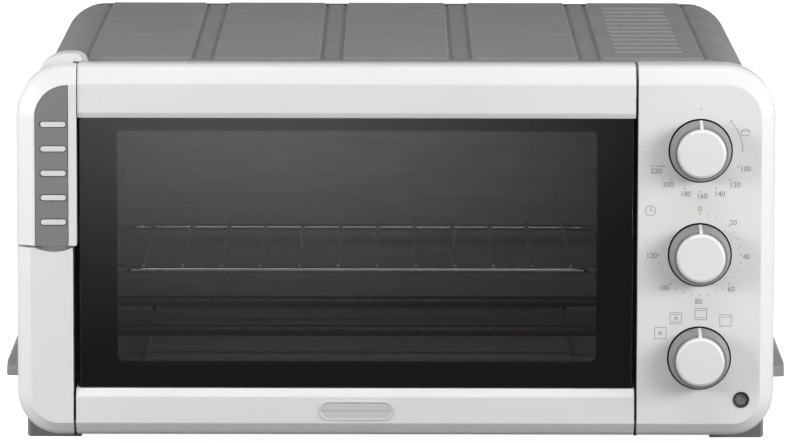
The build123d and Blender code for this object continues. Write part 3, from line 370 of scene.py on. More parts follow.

# %% [markdown]
# Grey plastics
#
# The carrying hoods and the feet are polypropylene in a darker grey with a visible mould grain. The
# feet get a still darker copy of it: painted shade for the shadow they stand in under the front.
# The inset of the grip is a mid grey ABS, smoother, and its five bars, the blank plate and the knob
# caps are glossier pale ones. The skirts of the knobs and the lamp's ring are darker, with a satin
# shine. The wells round the knobs hold a near black that gives almost no light back: painted shade
# for the shadow gap round each skirt. Behind the door gaps lies a dull dark grey, a little paler:
# painted shade for the shadow deep in those gaps. Inside are two more: brown-black phenolic where it
# gets hot, and milky nylon where the hinge turns.

# %% Grey plastics
HOOD_NAME, FOOT_SHADE_NAME = "grained_grey_polypropylene", "polypropylene_painted_foot_shade"
grained_polypropylene = moulded_plastic(HOOD_NAME, "#9A9A9A", "#949494", 0.55, 0.7, 0.02, 1.49)
# the feet's darker copy of the hoods' polypropylene is painted shade
foot_shade_polypropylene = moulded_plastic(FOOT_SHADE_NAME, "#828282", "#7C7C7C", 0.55, 0.7, 0.02, 1.49)
inset_abs = moulded_plastic("mid_grey_abs", "#828282", "#7F7F7F", 0.42, 0.6, 0.006)
pearl_abs = moulded_plastic("pearl_grey_abs", "#E0E0E0", "#DCDCDC", 0.28, 0.9, 0.003)
cap_abs = moulded_plastic("white_cap_abs", "#E9E9E9", "#E6E6E6", 0.30, 0.9, 0.003)
skirt_abs = moulded_plastic("satin_grey_skirt_abs", "#8E8E8E", "#898989", 0.34, 0.9, 0.004)
plate_abs = moulded_plastic("silver_grey_plate_abs", "#D2D2D2", "#CCCCCC", 0.3, 0.9, 0.004)
ring_abs = moulded_plastic("dark_grey_ring_abs", "#3C3C3C", "#363636", 0.35, 0.8, 0.005)
black_phenolic = moulded_plastic("black_phenolic", "#1C1917", "#241F1C", 0.5, 0.8, 0.01, 1.6)
# painted shade: a near black for the shadow in the wells round the knobs
well_shade_black = moulded_plastic("painted_well_shade_black", "#080808", "#0B0B0B", 0.8, 1.0, 0.01, 1.2)
# painted shade: a dull dark grey for the shadow deep in the door gaps
gap_shade_grey = moulded_plastic("painted_gap_shade_grey", "#4A4A4A", "#444444", 0.7, 1.0, 0.01, 1.4)
natural_nylon = moulded_plastic("natural_nylon", "#D8D5CA", "#D0CCC0", 0.45, 1.0, 0.005, 1.53)
print("darkest", well_shade_black.name, "palest", cap_abs.name)

# %% [markdown]
# Painted steel
#
# The case is sheet steel with a grey powder coat. Powder coat dries with an orange-peel texture,
# waves about a millimetre wide, and a much finer sparkle. That is what softens its reflections.
# The frame behind the glass is black enamel, which is fired on and so dull here that it shows as a
# plain dark border.

# %% Painted and enamelled steel
COAT_CLOUD_MM = 45.0
COAT_DRIFT = (-0.03, 0.04)
SPARKLE_SIZE_SHARE, SPARKLE_DEPTH_SHARE = 1 / 3, 1 / 4


def painted_steel(name, card, shade_card, roughness, peel_mm, peel_depth_mm, shine=0.5):
    """Powder coat or enamel: even colour, orange peel under a sparkle, and small changes of shine."""
    peel = ((peel_mm, 1.0), peel_depth_mm)
    sparkle = ((peel_mm * SPARKLE_SIZE_SHARE, 0.0), peel_depth_mm * SPARKLE_DEPTH_SHARE)
    cards, inputs = (card, shade_card), {"Specular IOR Level": shine}
    return clouded_finish(name, cards, roughness, COAT_DRIFT, (COAT_CLOUD_MM,), [peel, sparkle], inputs)


case_paint = painted_steel("grey_powder_coat", "#929292", "#8F8F8F", 0.6, 1.6, 0.02, 0.2)
back_paint = painted_steel("plain_grey_back_paint", "#6A6A6A", "#666666", 0.6, 1.6, 0.02)
black_enamel = painted_steel("black_enamel", "#0B0B0B", "#0E0E0E", 0.6, 2.0, 0.01, 0.15)
print("coats", [coat.name for coat in (case_paint, back_paint, black_enamel)])

# %% [markdown]
# Bare metals
#
# The cavity is aluminised sheet. Its walls and floor are matt and only partly mirror, as such sheet
# is after some baking, and its roof is shinier. The plates behind are galvanised with their leafy
# zinc crystals, the heaters have a sheath browned by heat, the rack and the screws are plated and
# the shafts are turned steel. One function makes them all from a metal's colour, the size of its
# crystals or rolling lines and how rough it is.

# %% Sheet and plated metals
METAL_DRIFT = (-0.05, 0.06)
FINE_GRAIN_SHARE = 1 / 4
ROLLED = (0.15, 1, 1)


def bare_metal(name, card, shade_card, roughness, grain_mm, stretch=(1, 1, 1), depth_mm=0.004,
               metallic=1.0):
    """A metal with grains or rolling lines of a given size, which change its shade and its shine."""
    fine = ((grain_mm * FINE_GRAIN_SHARE, 1.0, stretch), depth_mm)
    cards, crystals, inputs = (card, shade_card), (grain_mm, 2.0, stretch), {"Metallic": metallic}
    return clouded_finish(name, cards, roughness, METAL_DRIFT, crystals, [fine], inputs)


aluminised_sheet = bare_metal("aluminised_cavity_sheet", "#9A9A98", "#8A8A88", 0.42, 6.0, ROLLED, 0.002)
matt_aluminised = bare_metal("matt_aluminised_sheet", "#BEBEBC", "#B4B4B2", 0.6, 6.0, ROLLED, 0.002, 0.25)
galvanised_sheet = bare_metal("galvanised_sheet", "#B4B8BA", "#989DA0", 0.36, 9.0)
chrome_wire = bare_metal("chrome_plated_wire", "#D6D6D6", "#CCCCCC", 0.12, 3.0)
heater_sheath = bare_metal("browned_heater_sheath", "#6E665E", "#57504A", 0.45, 3.0)
zinc_plate = bare_metal("zinc_plated_steel", "#B8B9B4", "#A9AAA6", 0.32, 1.5)
turned_steel = bare_metal("turned_shaft_steel", "#B5B5B5", "#A5A5A5", 0.28, 0.6, (1, 0.1, 1))
pressed_aluminium = bare_metal("pressed_aluminium", "#C6C7C8", "#B8B9BA", 0.34, 2.5)
motor_iron = bare_metal("laminated_motor_iron", "#6C6C70", "#5A5A5E", 0.48, 0.7, (6, 1, 1), 0.03)
print("metals from", aluminised_sheet.name, "to", motor_iron.name)

# %% [markdown]
# Glass, lens, ceramic and ink
#
# The pane is smoked soda-lime glass, so it swallows more than half of the light on each pass and
# mirrors the pale floor in front of the oven. Faint wiping marks lie in its shine. The lens of the
# pilot lamp is smoky cut plastic, unlit, whose clouds are spread over the whole noise.
# The heater ends sit in steatite, a matt cream ceramic. The figures are screen-printed ink.

# %% Smoked glass and the rest
WIPE_MARKS = (50.0, 3.0, (1, 1, 0.4))
dark_glass = clouded_finish(
    "smoked_soda_lime_glass", ("#ABABAB", "#A8A8A8"), 0.015, (0, 0.015), WIPE_MARKS, [],
    {"Transmission Weight": 1.0, "IOR": 1.52})
lamp_lens = clouded_finish(
    "cut_smoky_lens", ("#A0A0A0", "#B4B4B4"), 0.12, (0, 0.08), (2.0,), [], {"IOR": 1.49}, spread=(0, 1))
steatite = moulded_plastic("cream_steatite", "#DAD4C4", "#CFC8B6", 0.7, 1.2, 0.02, 1.6)
print_ink = moulded_plastic("grey_screen_ink", "#8A8A8A", "#868686", 0.6, 1.0, 0.002)
print("materials", len(bpy.data.materials))

# %% [markdown]
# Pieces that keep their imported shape
#
# Flat sheets, plates and hidden blocks are right as they are, so they only get their finish. The
# loop gives each of them the material that it is really made of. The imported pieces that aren't
# named here are replaced further on by finer ones.

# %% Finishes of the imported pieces
PACKED_FINISHES = {
    aluminised_sheet: ("cavity_roof",),
    matt_aluminised: ("cavity_floor", "cavity_left_wall", "cavity_right_wall", "cavity_back_wall",
                      "crumb_tray"),
    galvanised_sheet: ("front_plate", "heat_shield", "fan_housing", "hinge_brackets"),
    back_paint: ("rear_panel", "base_plate"),
    white_abs: ("front_top_rail", "front_bottom_rail", "pilot_lamp_holder"),
    grained_polypropylene: ("tray_pull", "cord_gland", "rear_spacers"),
    black_phenolic: ("thermostat_body", "timer_body", "selector_body", "terminal_block"),
    natural_nylon: ("hinge_bushes",),
    black_enamel: ("door_inner_frame",),
    heater_sheath: ("upper_heaters", "lower_heaters"),
    zinc_plate: ("rear_screws", "cavity_rivet"),
    turned_steel: ("thermostat_shaft", "timer_shaft", "selector_shaft"),
    pressed_aluminium: ("convection_fan",),
    motor_iron: ("fan_motor",),
    steatite: ("heater_insulators",),
}
for material, nodes in PACKED_FINISHES.items():
    for node in nodes:
        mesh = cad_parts[node].data
        mesh.materials.clear()
        mesh.materials.append(material)
print("finished packed pieces", sum(len(nodes) for nodes in PACKED_FINISHES.values()))

# %% [markdown]
# Tools for making pieces
#
# A handful of small functions does the same few things for every piece. The first few start a
# shape: a block, a bar pushed out of an outline, a rod, or an outline spun about a shaft.

# %% Tools that start a shape
def block(low, high):
    """A box between two corners."""
    bm = bmesh.new()
    low, high = Vector(low), Vector(high)
    place = Matrix.Translation((low + high) / 2) @ Matrix.Diagonal((*(high - low), 1))
    bmesh.ops.create_cube(bm, size=1.0, matrix=place)
    return bm


def of_kind(items, kind):
    """Those of a list of vertices, edges and faces that are of one kind."""
    return [item for item in items if isinstance(item, kind)]


def prism(corners, run):
    """A closed bar: an outline of points, pushed along by a vector."""
    bm = bmesh.new()
    face = bm.faces.new([bm.verts.new(corner) for corner in corners])
    pushed = bmesh.ops.extrude_face_region(bm, geom=[face])["geom"]
    bmesh.ops.translate(bm, verts=of_kind(pushed, bmesh.types.BMVert), vec=run)
    bmesh.ops.recalc_face_normals(bm, faces=bm.faces)
    return bm


def profile_bar(outline, front_y, back_y):
    """A closed bar between two depths; the outline is (across, up), as seen from the front."""
    return prism([(x, front_y, z) for x, z in outline], DEEP * (back_y - front_y))


def rod(start, end, radius, sides, bm=None):
    """A round bar between two points, in a new bmesh or in one that is given."""
    bm = bm or bmesh.new()
    start, end = Vector(start), Vector(end)
    turn = (end - start).to_track_quat("Z", "Y").to_matrix().to_4x4()
    place = Matrix.Translation((start + end) / 2) @ turn
    bmesh.ops.create_cone(bm, cap_ends=True, segments=sides, radius1=radius, radius2=radius,
                          depth=(end - start).length, matrix=place)
    return bm


def turned_piece(centre, outline, steps):
    """A body of revolution about a front-to-back axis; the outline is (radius, depth) in millimetres."""
    bm = bmesh.new()
    points = [bm.verts.new(centre + Vector((radius, depth, 0)) * MM) for radius, depth in outline]
    line = [bm.edges.new(pair) for pair in zip(points, points[1:])]
    bmesh.ops.spin(bm, geom=points + line, cent=centre, axis=DEEP, angle=2 * pi, steps=steps,
                   use_merge=True, use_duplicate=False)
    bmesh.ops.remove_doubles(bm, verts=bm.verts, dist=HAIR)
    bmesh.ops.recalc_face_normals(bm, faces=bm.faces)
    return bm


print("shapes start from a block, a prism, a profile bar, a rod or a turned piece")

# %% [markdown]
# Tools that work on a shape
#
# Real mouldings and pressings have no knife edges, so every piece gets its edges rounded. A shape
# can be sawn by a plane, have its front inset, or have another shape carved out of it. Carving is
# left to the Boolean modifier, whose exact solver keeps the wall closed. A face counts as looking
# forward or down when its normal does so by more than FACING. A rounding has two steps, or three
# where it is seen from near by.

# %% Tools that work on a shape
SHARP_TURN = 25
PARALLEL = 0.001
FACING = 0.9
COARSE, FINE = 2, 3


def round_edges(bm, edges, radius, segments=COARSE):
    """Give edges a radius."""
    bmesh.ops.bevel(bm, geom=list(edges), offset=radius, offset_type="OFFSET", affect="EDGES",
                    segments=segments, profile=0.5, material=-1, clamp_overlap=True)


def edges_along(bm, axis, chosen=lambda place: True):
    """Edges that run along an axis and start at a chosen place."""
    found = []
    for edge in bm.edges:
        run = edge.verts[1].co - edge.verts[0].co
        if abs(run.normalized().dot(axis)) > 1 - PARALLEL and chosen(edge.verts[0].co):
            found.append(edge)
    return found


def sharp_edges(bm, least_turn=SHARP_TURN):
    """Edges where the surface turns by more than so many degrees."""
    bm.normal_update()
    return [e for e in bm.edges if len(e.link_faces) == 2 and e.calc_face_angle(0) > radians(least_turn)]


def soften(bm, radius, segments=COARSE, least_turn=SHARP_TURN):
    """Round every sharp edge."""
    round_edges(bm, sharp_edges(bm, least_turn), radius, segments)


def whole(bm):
    """Everything that a bmesh holds."""
    return bm.verts[:] + bm.edges[:] + bm.faces[:]


def saw(bm, place, direction):
    """Cut by a plane, drop what lies on the side the direction points to, and close the cut."""
    cut = bmesh.ops.bisect_plane(bm, geom=whole(bm), dist=HAIR, plane_co=place, plane_no=direction,
                                 clear_outer=True)
    bmesh.ops.edgeloop_fill(bm, edges=of_kind(cut["geom_cut"], bmesh.types.BMEdge))


def inset_front(bm, inset, push):
    """Inset the largest face that looks forward, push it back by so much and return it."""
    face = max((f for f in bm.faces if f.normal.y < -FACING), key=lambda f: f.calc_area())
    bmesh.ops.inset_region(bm, faces=[face], thickness=inset, use_even_offset=True, use_boundary=True)
    bmesh.ops.translate(bm, verts=face.verts, vec=DEEP * push)
    return face


def join_in(bm, other):
    """Add another bmesh to this one and free it."""
    mesh = bpy.data.meshes.new("part")
    other.to_mesh(mesh)
    other.free()
    bm.from_mesh(mesh)
    bpy.data.meshes.remove(mesh)


def carve(bm, tool):
    """Take the tool's shape out of a mesh and return what is left."""
    pair = []
    for shape in (bm, tool):
        mesh = bpy.data.meshes.new("carving")
        shape.to_mesh(mesh)
        shape.free()
        thing = bpy.data.objects.new("carving", mesh)
        bpy.context.scene.collection.objects.link(thing)
        pair.append(thing)
    body, knife = pair
    cutter = body.modifiers.new("cutter", "BOOLEAN")
    cutter.object = knife
    cutter.solver = "EXACT"
    depsgraph = bpy.context.evaluated_depsgraph_get()
    left = bmesh.new()
    left.from_mesh(body.evaluated_get(depsgraph).data)
    for thing in pair:
        mesh = thing.data
        bpy.data.objects.remove(thing)
        bpy.data.meshes.remove(mesh)
    return left


print("an edge is sharp from", SHARP_TURN, "degrees")

# %% [markdown]
# From a shape to a piece
#
# At the end the bmesh becomes an object that rides on its body, has its material slot and stands
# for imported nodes. It is shaded smooth, and weighted normals keep large flats flat beside its
# rounded edges.

# %% Finish a piece
KEEP_SHARP = 40


def finish_piece(name, bm, body, material, nodes=(), keep_sharp=KEEP_SHARP):
    """Turn a bmesh into a smooth-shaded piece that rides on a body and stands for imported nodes."""
    mesh = bpy.data.meshes.new(name)
    bm.to_mesh(mesh)
    bm.free()
    mesh.shade_smooth()
    mesh.set_sharp_from_angle(angle=radians(keep_sharp))
    mesh.materials.append(material)
    piece = bpy.data.objects.new(name, mesh)
    bpy.context.scene.collection.objects.link(piece)
    piece.modifiers.new("flats_stay_flat", "WEIGHTED_NORMAL").keep_sharp = True
    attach(piece, body)
    if nodes:
        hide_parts(*nodes)
    print(name, len(mesh.polygons), "faces")


print("edges stay sharp from", KEEP_SHARP, "degrees")

# %% [markdown]
# The white front, as one moulding
#
# Column, control panel, door bars and grip share one rim: side walls that roll over into a broad
# slope, and a flat face inside it. Making that rim once and sawing it into pieces is how they come
# to line up. The block's four long edges become the large corner radius. The front face is inset
# and pushed forward to make the slope. Its corners are then made a little tighter than an even
# inset leaves them, and its upper edge is brought down, because the slope is broadest at the top.

# %% Front moulding
TOP_CORNER, FOOT_CORNER = 30 * MM, 25.5 * MM
FLAT_TOP_CORNER, FLAT_FOOT_CORNER = 20 * MM, 16 * MM
RIM_INSET = 8.2 * MM
FRONT_REACH = 0.5 * MM
RIM_DEPTH = 6.6 * MM
FLAT_FOOT = 15.5 * MM
FLAT_TOP = 213.3 * MM
ROLL_RADIUS = 3.6 * MM
EDGE_RADIUS = 0.5 * MM
CORNER_STEPS, ROLL_STEPS = 14, 5


def reshape_flat(face, lowest, highest, inset):
    """Give the flat face of the front its own corner radii, and its own foot and top."""
    middle_x, middle_z = (FASCIA_LEFT + FASCIA_RIGHT) / 2, (FASCIA_FOOT + FASCIA_TOP) / 2
    foot, top = lowest + inset, highest - inset
    for vert in face.verts:
        at_right, at_top = vert.co.x > middle_x, vert.co.z > middle_z
        corner = Vector((FASCIA_RIGHT if at_right else FASCIA_LEFT, FRONT_Y, highest if at_top else lowest))
        inwards = Vector((-1 if at_right else 1, 0, -1 if at_top else 1))
        rim_radius = TOP_CORNER if at_top else FOOT_CORNER
        flat_radius = FLAT_TOP_CORNER if at_top else FLAT_FOOT_CORNER
        reach = vert.co - corner - inwards * rim_radius
        vert.co = corner + inwards * (inset + flat_radius) + reach * flat_radius / (rim_radius - inset)
        share = (vert.co.z - foot) / (top - foot)
        vert.co.z = FLAT_FOOT + share * (FLAT_TOP - FLAT_FOOT)


def front_moulding(proud=0.0, inset=RIM_INSET):
    """The whole front as one closed body, standing proud by so much, with a rim of this width."""
    rim_y = FRONT_Y + RIM_DEPTH
    lowest, highest = FASCIA_FOOT - FRONT_REACH, FASCIA_TOP + FRONT_REACH
    bm = block((FASCIA_LEFT, rim_y, lowest), (FASCIA_RIGHT, FASCIA_BACK, highest))
    top_edges = edges_along(bm, DEEP, lambda place: place.z > highest - EDGE_RADIUS)
    round_edges(bm, top_edges, TOP_CORNER, CORNER_STEPS)
    foot_edges = edges_along(bm, DEEP, lambda place: place.z < lowest + EDGE_RADIUS)
    round_edges(bm, foot_edges, FOOT_CORNER, CORNER_STEPS)
    rim = [e for e in bm.edges if all(abs(v.co.y - rim_y) < HAIR for v in e.verts)]
    face = inset_front(bm, inset, -RIM_DEPTH)
    reshape_flat(face, lowest, highest, inset)
    round_edges(bm, rim, ROLL_RADIUS, ROLL_STEPS)
    bmesh.ops.translate(bm, verts=bm.verts, vec=-DEEP * proud)
    return bm


def front_piece(cuts, proud=0.0, inset=RIM_INSET):
    """Part of the front moulding that is left after saw cuts, each a place and a direction."""
    bm = front_moulding(proud, inset)
    for place, direction in cuts:
        saw(bm, Vector(place), Vector(direction))
    return bm


print("front moulding", round((FASCIA_RIGHT - FASCIA_LEFT) / MM, 1), "mm wide")

# %% [markdown]
# Door bars
#
# The door is a pane held between an upper and a lower bar. Both bars are stretches of the front
# moulding. Where they meet the glass they slope back to it: a short lip above and a broader one,
# which catches the light, below. Each cut is one plane, so sawing is the plain way to make them.

# %% Door bars
bar_low, bar_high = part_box("door_top_bar")
foot_low, foot_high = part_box("door_bottom_bar")
TOP_LIP = Vector((0, 1.7 * MM, 3.2 * MM))
TOP_REACH = 0.5 * MM
FOOT_LIP = Vector((0, 3 * MM, 4.8 * MM))


def make_door_bar(name, node, cuts):
    """One bar of the door, sawn from the front moulding."""
    bm = front_piece(cuts)
    soften(bm, EDGE_RADIUS)
    finish_piece(name, bm, "door", white_abs, [node])


top_foot = bar_low.z - TOP_REACH
make_door_bar("upper_door_bar", "door_top_bar", [
    (bar_low, -ACROSS),
    (bar_high, ACROSS),
    ((0, 0, top_foot), -UP),
    (bar_high, DEEP),
    ((0, FRONT_Y, top_foot + TOP_LIP.z), (0, -TOP_LIP.z, -TOP_LIP.y)),
])
make_door_bar("lower_door_bar", "door_bottom_bar", [
    (foot_low, -ACROSS),
    (foot_high, ACROSS),
    (foot_high, UP),
    (foot_high, DEEP),
    ((0, FRONT_Y, foot_high.z - FOOT_LIP.z), (0, -FOOT_LIP.z, FOOT_LIP.y)),
])

# %% [markdown]
# Pane and painted gap shade
#
# The pane is a sheet of glass a little narrower than the bars, with ground edges. Behind the two
# upright gaps beside the door lie two dark grey strips of painted shade, which make the gaps the dark
# lines that their shadow makes. Beside the lower bar, where the gaps are thinner, each strip goes on
# narrower almost down to the table. Each span is the left and right edge of a strip, its foot and
# its top.

# %% Pane and painted gap shade
PANE_LEFT_GAP = 1.0 * MM
PANE_RIGHT_GAP = 1.1 * MM
PANE_GROUND_EDGE = 0.5 * MM
# the strips behind the door gaps are painted shade
GAP_SHADE_FACE_Y = FRONT_Y + 20.6 * MM
GAP_SHADE_THICK = 0.7 * MM
GAP_SHADE_FOOT, GAP_SHADE_STEP, GAP_SHADE_TOP = 5.2 * MM, 36 * MM, 203 * MM
GAP_SHADE_SPANS = (
    (-188 * MM, -180.5 * MM, GAP_SHADE_STEP, GAP_SHADE_TOP),
    (136 * MM, 141 * MM, GAP_SHADE_STEP, GAP_SHADE_TOP),
    (-188 * MM, -184.4 * MM, GAP_SHADE_FOOT, GAP_SHADE_STEP),
    (138.8 * MM, 141 * MM, GAP_SHADE_FOOT, GAP_SHADE_STEP),
)


def make_pane():
    """Glass pane with ground edges."""
    low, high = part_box("door_glass")
    bm = block(low + ACROSS * PANE_LEFT_GAP, high - ACROSS * PANE_RIGHT_GAP)
    soften(bm, PANE_GROUND_EDGE, segments=1)
    finish_piece("smoked_pane", bm, "door", dark_glass, ["door_glass"])


def make_gap_shade():
    """Two upright dark strips of painted shade on the front, behind the edges of the door and narrower at
    the foot.
    """
    bm = bmesh.new()
    for left, right, foot, top in GAP_SHADE_SPANS:
        strip = block((left, GAP_SHADE_FACE_Y, foot), (right, GAP_SHADE_FACE_Y + GAP_SHADE_THICK, top))
        soften(strip, GAP_SHADE_THICK / 4)
        join_in(bm, strip)
    finish_piece("door_gap_shade", bm, "oven", gap_shade_grey)


make_pane()
make_gap_shade()

# %% [markdown]
# Control panel
#
# The control panel is the right-hand end of the same moulding. It has a round well under each knob
# and a hole for the pilot lamp, which are carved out of it with rods.

# %% Control panel
WELL_RADIUS = 18.6 * MM
WELL_DEPTH = 4 * MM
LAMP_HOLE_RADIUS = 4.35 * MM
LAMP_HOLE_DEPTH = 8 * MM
HOLE_SIDES = 96


def make_panel():
    """Control panel with the wells for the knobs and the hole for the lamp."""
    panel = front_piece([(panel_low, -ACROSS)])
    soften(panel, EDGE_RADIUS)
    lamp = middle("pilot_lamp_bezel")
    holes = [(KNOB_X, z, WELL_RADIUS, WELL_DEPTH) for z in KNOB_Z.values()]
    holes.append((lamp.x, lamp.z, LAMP_HOLE_RADIUS, LAMP_HOLE_DEPTH))
    for x, z, radius, depth in holes:
        mouth = Vector((x, FRONT_Y, z))
        panel = carve(panel, rod(mouth - DEEP * depth, mouth + DEEP * depth, radius, HOLE_SIDES))
    finish_piece("control_moulding", panel, "oven", white_abs, ["control_panel"])


make_panel()

# %% [markdown]
# Left column
#
# The column at the left has two parts: below the grip it is full and smooth, with a scoop under the
# grip for a finger, and above it only the rear half of the moulding is left as a rim, with a small
# hump that laps over the corner of the case. The scoop is a round bar carved out of the edge. The
# hump is two bars, one behind the other, each with a large and a small rounded corner, which are
# listed with their place, radius and steps. The front bar stands an edge's width behind the face of
# the rim, because two faces that lie in one plane render black.

# %% Left column
grip_low, grip_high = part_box("door_handle")
GRIP_FOOT_GAP = 1.2 * MM
SHELF_Z = grip_low.z - GRIP_FOOT_GAP
SHELF_THICK = 5 * MM
RIM_WALL_Y = FRONT_Y + 14 * MM
SCOOP_RADIUS = 25.2 * MM
SCOOP_SINK = 2.4 * MM
SCOOP_DEPTH = 9 * MM
BARS_X = middle("handle_light_bars").x
COLUMN_RIGHT = foot_low.x - 1.5 * MM
HUMP_FOOT = 206 * MM
HUMP_LEFT = -209 * MM
HUMP_TOE = Vector((-178.3 * MM, 0, 223.9 * MM))
HUMP_FALL_X = -181.8 * MM
HUMP_CORNERS = ((HUMP_LEFT, 19 * MM, 10), (HUMP_FALL_X, 4 * MM, 4))
HUMP_FRONT_Y = FRONT_Y + 21.2 * MM
HUMP_LAP_FOOT = 219 * MM
HUMP_OVER_DOOR = 224.6 * MM


def hump_part(front_y, back_y, foot, right_hand):
    """A slice of the hump between two depths, sawn off at its foot, with these right-hand corners."""
    left_hand = [(HUMP_LEFT, HUMP_FOOT), (HUMP_LEFT, column_high.z), (HUMP_FALL_X, column_high.z)]
    bm = profile_bar(left_hand + right_hand, front_y, back_y)
    above_door = HUMP_OVER_DOOR + EDGE_RADIUS
    for x, radius, steps in HUMP_CORNERS:
        upper = edges_along(bm, DEEP, lambda place: place.z > above_door and abs(place.x - x) < EDGE_RADIUS)
        round_edges(bm, upper, radius, steps)
    if foot > HUMP_FOOT:
        saw(bm, Vector((0, 0, foot)), -UP)
    soften(bm, 2 * EDGE_RADIUS)
    return bm


def make_column():
    """Full lower half with its scoop, the rim above it and the hump over the corner of the case."""
    column = front_piece([((COLUMN_RIGHT, 0, 0), ACROSS), ((0, 0, SHELF_Z), UP)])
    scoop_middle = Vector((BARS_X, FRONT_Y, SHELF_Z + SCOOP_RADIUS - SCOOP_SINK))
    reach = DEEP * SCOOP_DEPTH
    column = carve(column, rod(scoop_middle - reach, scoop_middle + reach, SCOOP_RADIUS, HOLE_SIDES))
    soften(column, EDGE_RADIUS / 2)
    rim = front_piece([
        ((COLUMN_RIGHT, 0, 0), ACROSS),
        ((0, 0, SHELF_Z - SHELF_THICK), -UP),
        ((0, RIM_WALL_Y, 0), -DEEP),
    ])
    soften(rim, 2 * EDGE_RADIUS)
    join_in(column, rim)
    beside_door = [(HUMP_FALL_X, HUMP_OVER_DOOR), (COLUMN_RIGHT, HUMP_OVER_DOOR), (COLUMN_RIGHT, HUMP_FOOT)]
    join_in(column, hump_part(RIM_WALL_Y + EDGE_RADIUS, HUMP_FRONT_Y, HUMP_FOOT, beside_door))
    over_case = [(HUMP_TOE.x, HUMP_TOE.z), (HUMP_TOE.x, HUMP_FOOT)]
    join_in(column, hump_part(HUMP_FRONT_Y, column_high.y, HUMP_LAP_FOOT, over_case))
    finish_piece("column_moulding", column, "oven", white_abs, ["left_column"])


make_column()

# %% [markdown]
# Grip
#
# The door is pulled by a grip that wraps its upper left corner. A white shell carries a grey inset
# with five pale bars. The inset and the bars each lie in a seat a little larger than they are, and
# that gap is the thin dark line round them. The seats are carved with the same outline as the
# pieces, made larger by the gap. The ends of a bar are rounded by a shade less than half its height,
# because two roundings that met would leave a face with no width.

# %% Grip shell, inset and bars
inset_low, inset_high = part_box("handle_inset")
light_low, light_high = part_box("handle_light_bars")
GRIP_RIM_INSET = 10 * MM
INSET_RADIUS = 18.4 * MM
INSET_SEAT = 1.6 * MM
SEAT_GAP = 0.35 * MM
BAR_COUNT = 5
BAR_HEIGHT = 3 * MM
BAR_SEAT_GAP = 0.55 * MM
BAR_FACE_RADIUS = 0.6 * MM
INSET_STEPS, PILL_STEPS = 16, 8
NEARLY_HALF = 0.4999


def inset_shape(margin, front_y, back_y):
    """Outline of the inset with its round upper left corner, larger by a margin."""
    low = Vector((inset_low.x - margin, front_y, inset_low.z - margin))
    high = Vector((inset_high.x + margin, back_y, inset_high.z + margin))
    bm = block(low, high)
    left, top = low.x + EDGE_RADIUS, high.z - EDGE_RADIUS
    corner = edges_along(bm, DEEP, lambda place: place.x < left and place.z > top)
    round_edges(bm, corner, INSET_RADIUS + margin, INSET_STEPS)
    return bm


def pill(centre_x, centre_z, length, height, front_y, back_y):
    """A flat bar with half-round ends."""
    low = (centre_x - length / 2, front_y, centre_z - height / 2)
    bm = block(low, (centre_x + length / 2, back_y, centre_z + height / 2))
    round_edges(bm, edges_along(bm, DEEP), NEARLY_HALF * height, PILL_STEPS)
    return bm


def make_grip():
    """White shell, grey inset and five pale bars of the grip."""
    cuts = [((grip_high.x, 0, 0), ACROSS), (grip_low, -UP), (grip_high, DEEP)]
    shell = front_piece(cuts, FRONT_Y - grip_low.y, GRIP_RIM_INSET)
    soften(shell, EDGE_RADIUS)
    shell = carve(shell, inset_shape(SEAT_GAP, grip_low.y - INSET_SEAT, grip_low.y + INSET_SEAT))
    finish_piece("grip_shell", shell, "door", white_abs, ["door_handle"])
    inset = inset_shape(0.0, inset_low.y, grip_low.y + INSET_SEAT)
    soften(inset, EDGE_RADIUS)
    length = light_high.x - light_low.x
    pitch = (light_high.z - light_low.z - BAR_HEIGHT) / (BAR_COUNT - 1)
    bars = bmesh.new()
    face_y, seat_y = light_low.y, light_high.y + BAR_SEAT_GAP
    seat_size = (length + 2 * BAR_SEAT_GAP, BAR_HEIGHT + 2 * BAR_SEAT_GAP)
    for number in range(BAR_COUNT):
        z = light_low.z + BAR_HEIGHT / 2 + number * pitch
        inset = carve(inset, pill(BARS_X, z, *seat_size, face_y, seat_y))
        bar = pill(BARS_X, z, length, BAR_HEIGHT, face_y, light_high.y)
        face_rim = [e for e in sharp_edges(bar) if all(v.co.y < face_y + EDGE_RADIUS / 2 for v in e.verts)]
        round_edges(bar, face_rim, BAR_FACE_RADIUS, FINE)
        join_in(bars, bar)
    finish_piece("grip_inset", inset, "door", inset_abs, ["handle_inset"])
    finish_piece("grip_bars", bars, "door", pearl_abs, ["handle_light_bars"])


make_grip()

# %% [markdown]
# Blank plate on the lower bar
#
# A flat pill-shaped plate with a raised rim sits in the middle of the lower bar. It is left blank.
# The rim is the plate's own face, inset and pushed back.

# %% Blank plate
PLATE_RIM = 0.9 * MM
PLATE_SINK = 0.45 * MM


def make_blank_plate():
    """Pill-shaped plate with a raised rim."""
    low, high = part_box("name_plate")
    centre = middle("name_plate")
    bm = pill(centre.x, centre.z, high.x - low.x, high.z - low.z, low.y, high.y + PLATE_SINK)
    inset_front(bm, PLATE_RIM, PLATE_SINK)
    soften(bm, PLATE_SINK / 3)
    finish_piece("blank_plate", bm, "door", plate_abs, ["name_plate"])


make_blank_plate()

# %% [markdown]
# Roof of the case
#
# The case is one sheet of steel folded over the top. Five flat panels are pressed up out of its
# roof, with a pressed groove along each side, and the strips left between them stiffen it. The roof
# is cut into strips by planes, then the panels are raised and the lines beside them are sunk.

# %% Roof panels
PANEL_RISE = 1.3 * MM
PANEL_SLOPE = 1.6 * MM
PANEL_END = 1.2 * MM
GROOVE_HALF = 1.5 * MM
GROOVE_SINK = 1.3 * MM
STRIP_COUNT = 4
STRIP_PITCH = 75 * MM
STRIP_WIDTH = 12 * MM
ROOF_EDGE = 179.5 * MM
ROOF_DROP = 1.5 * MM
LOUVRE_RISE = 1.1 * MM
ROOF_Z = case_high.z - PANEL_RISE - LOUVRE_RISE - ROOF_DROP
PANEL_Z = ROOF_Z + PANEL_RISE


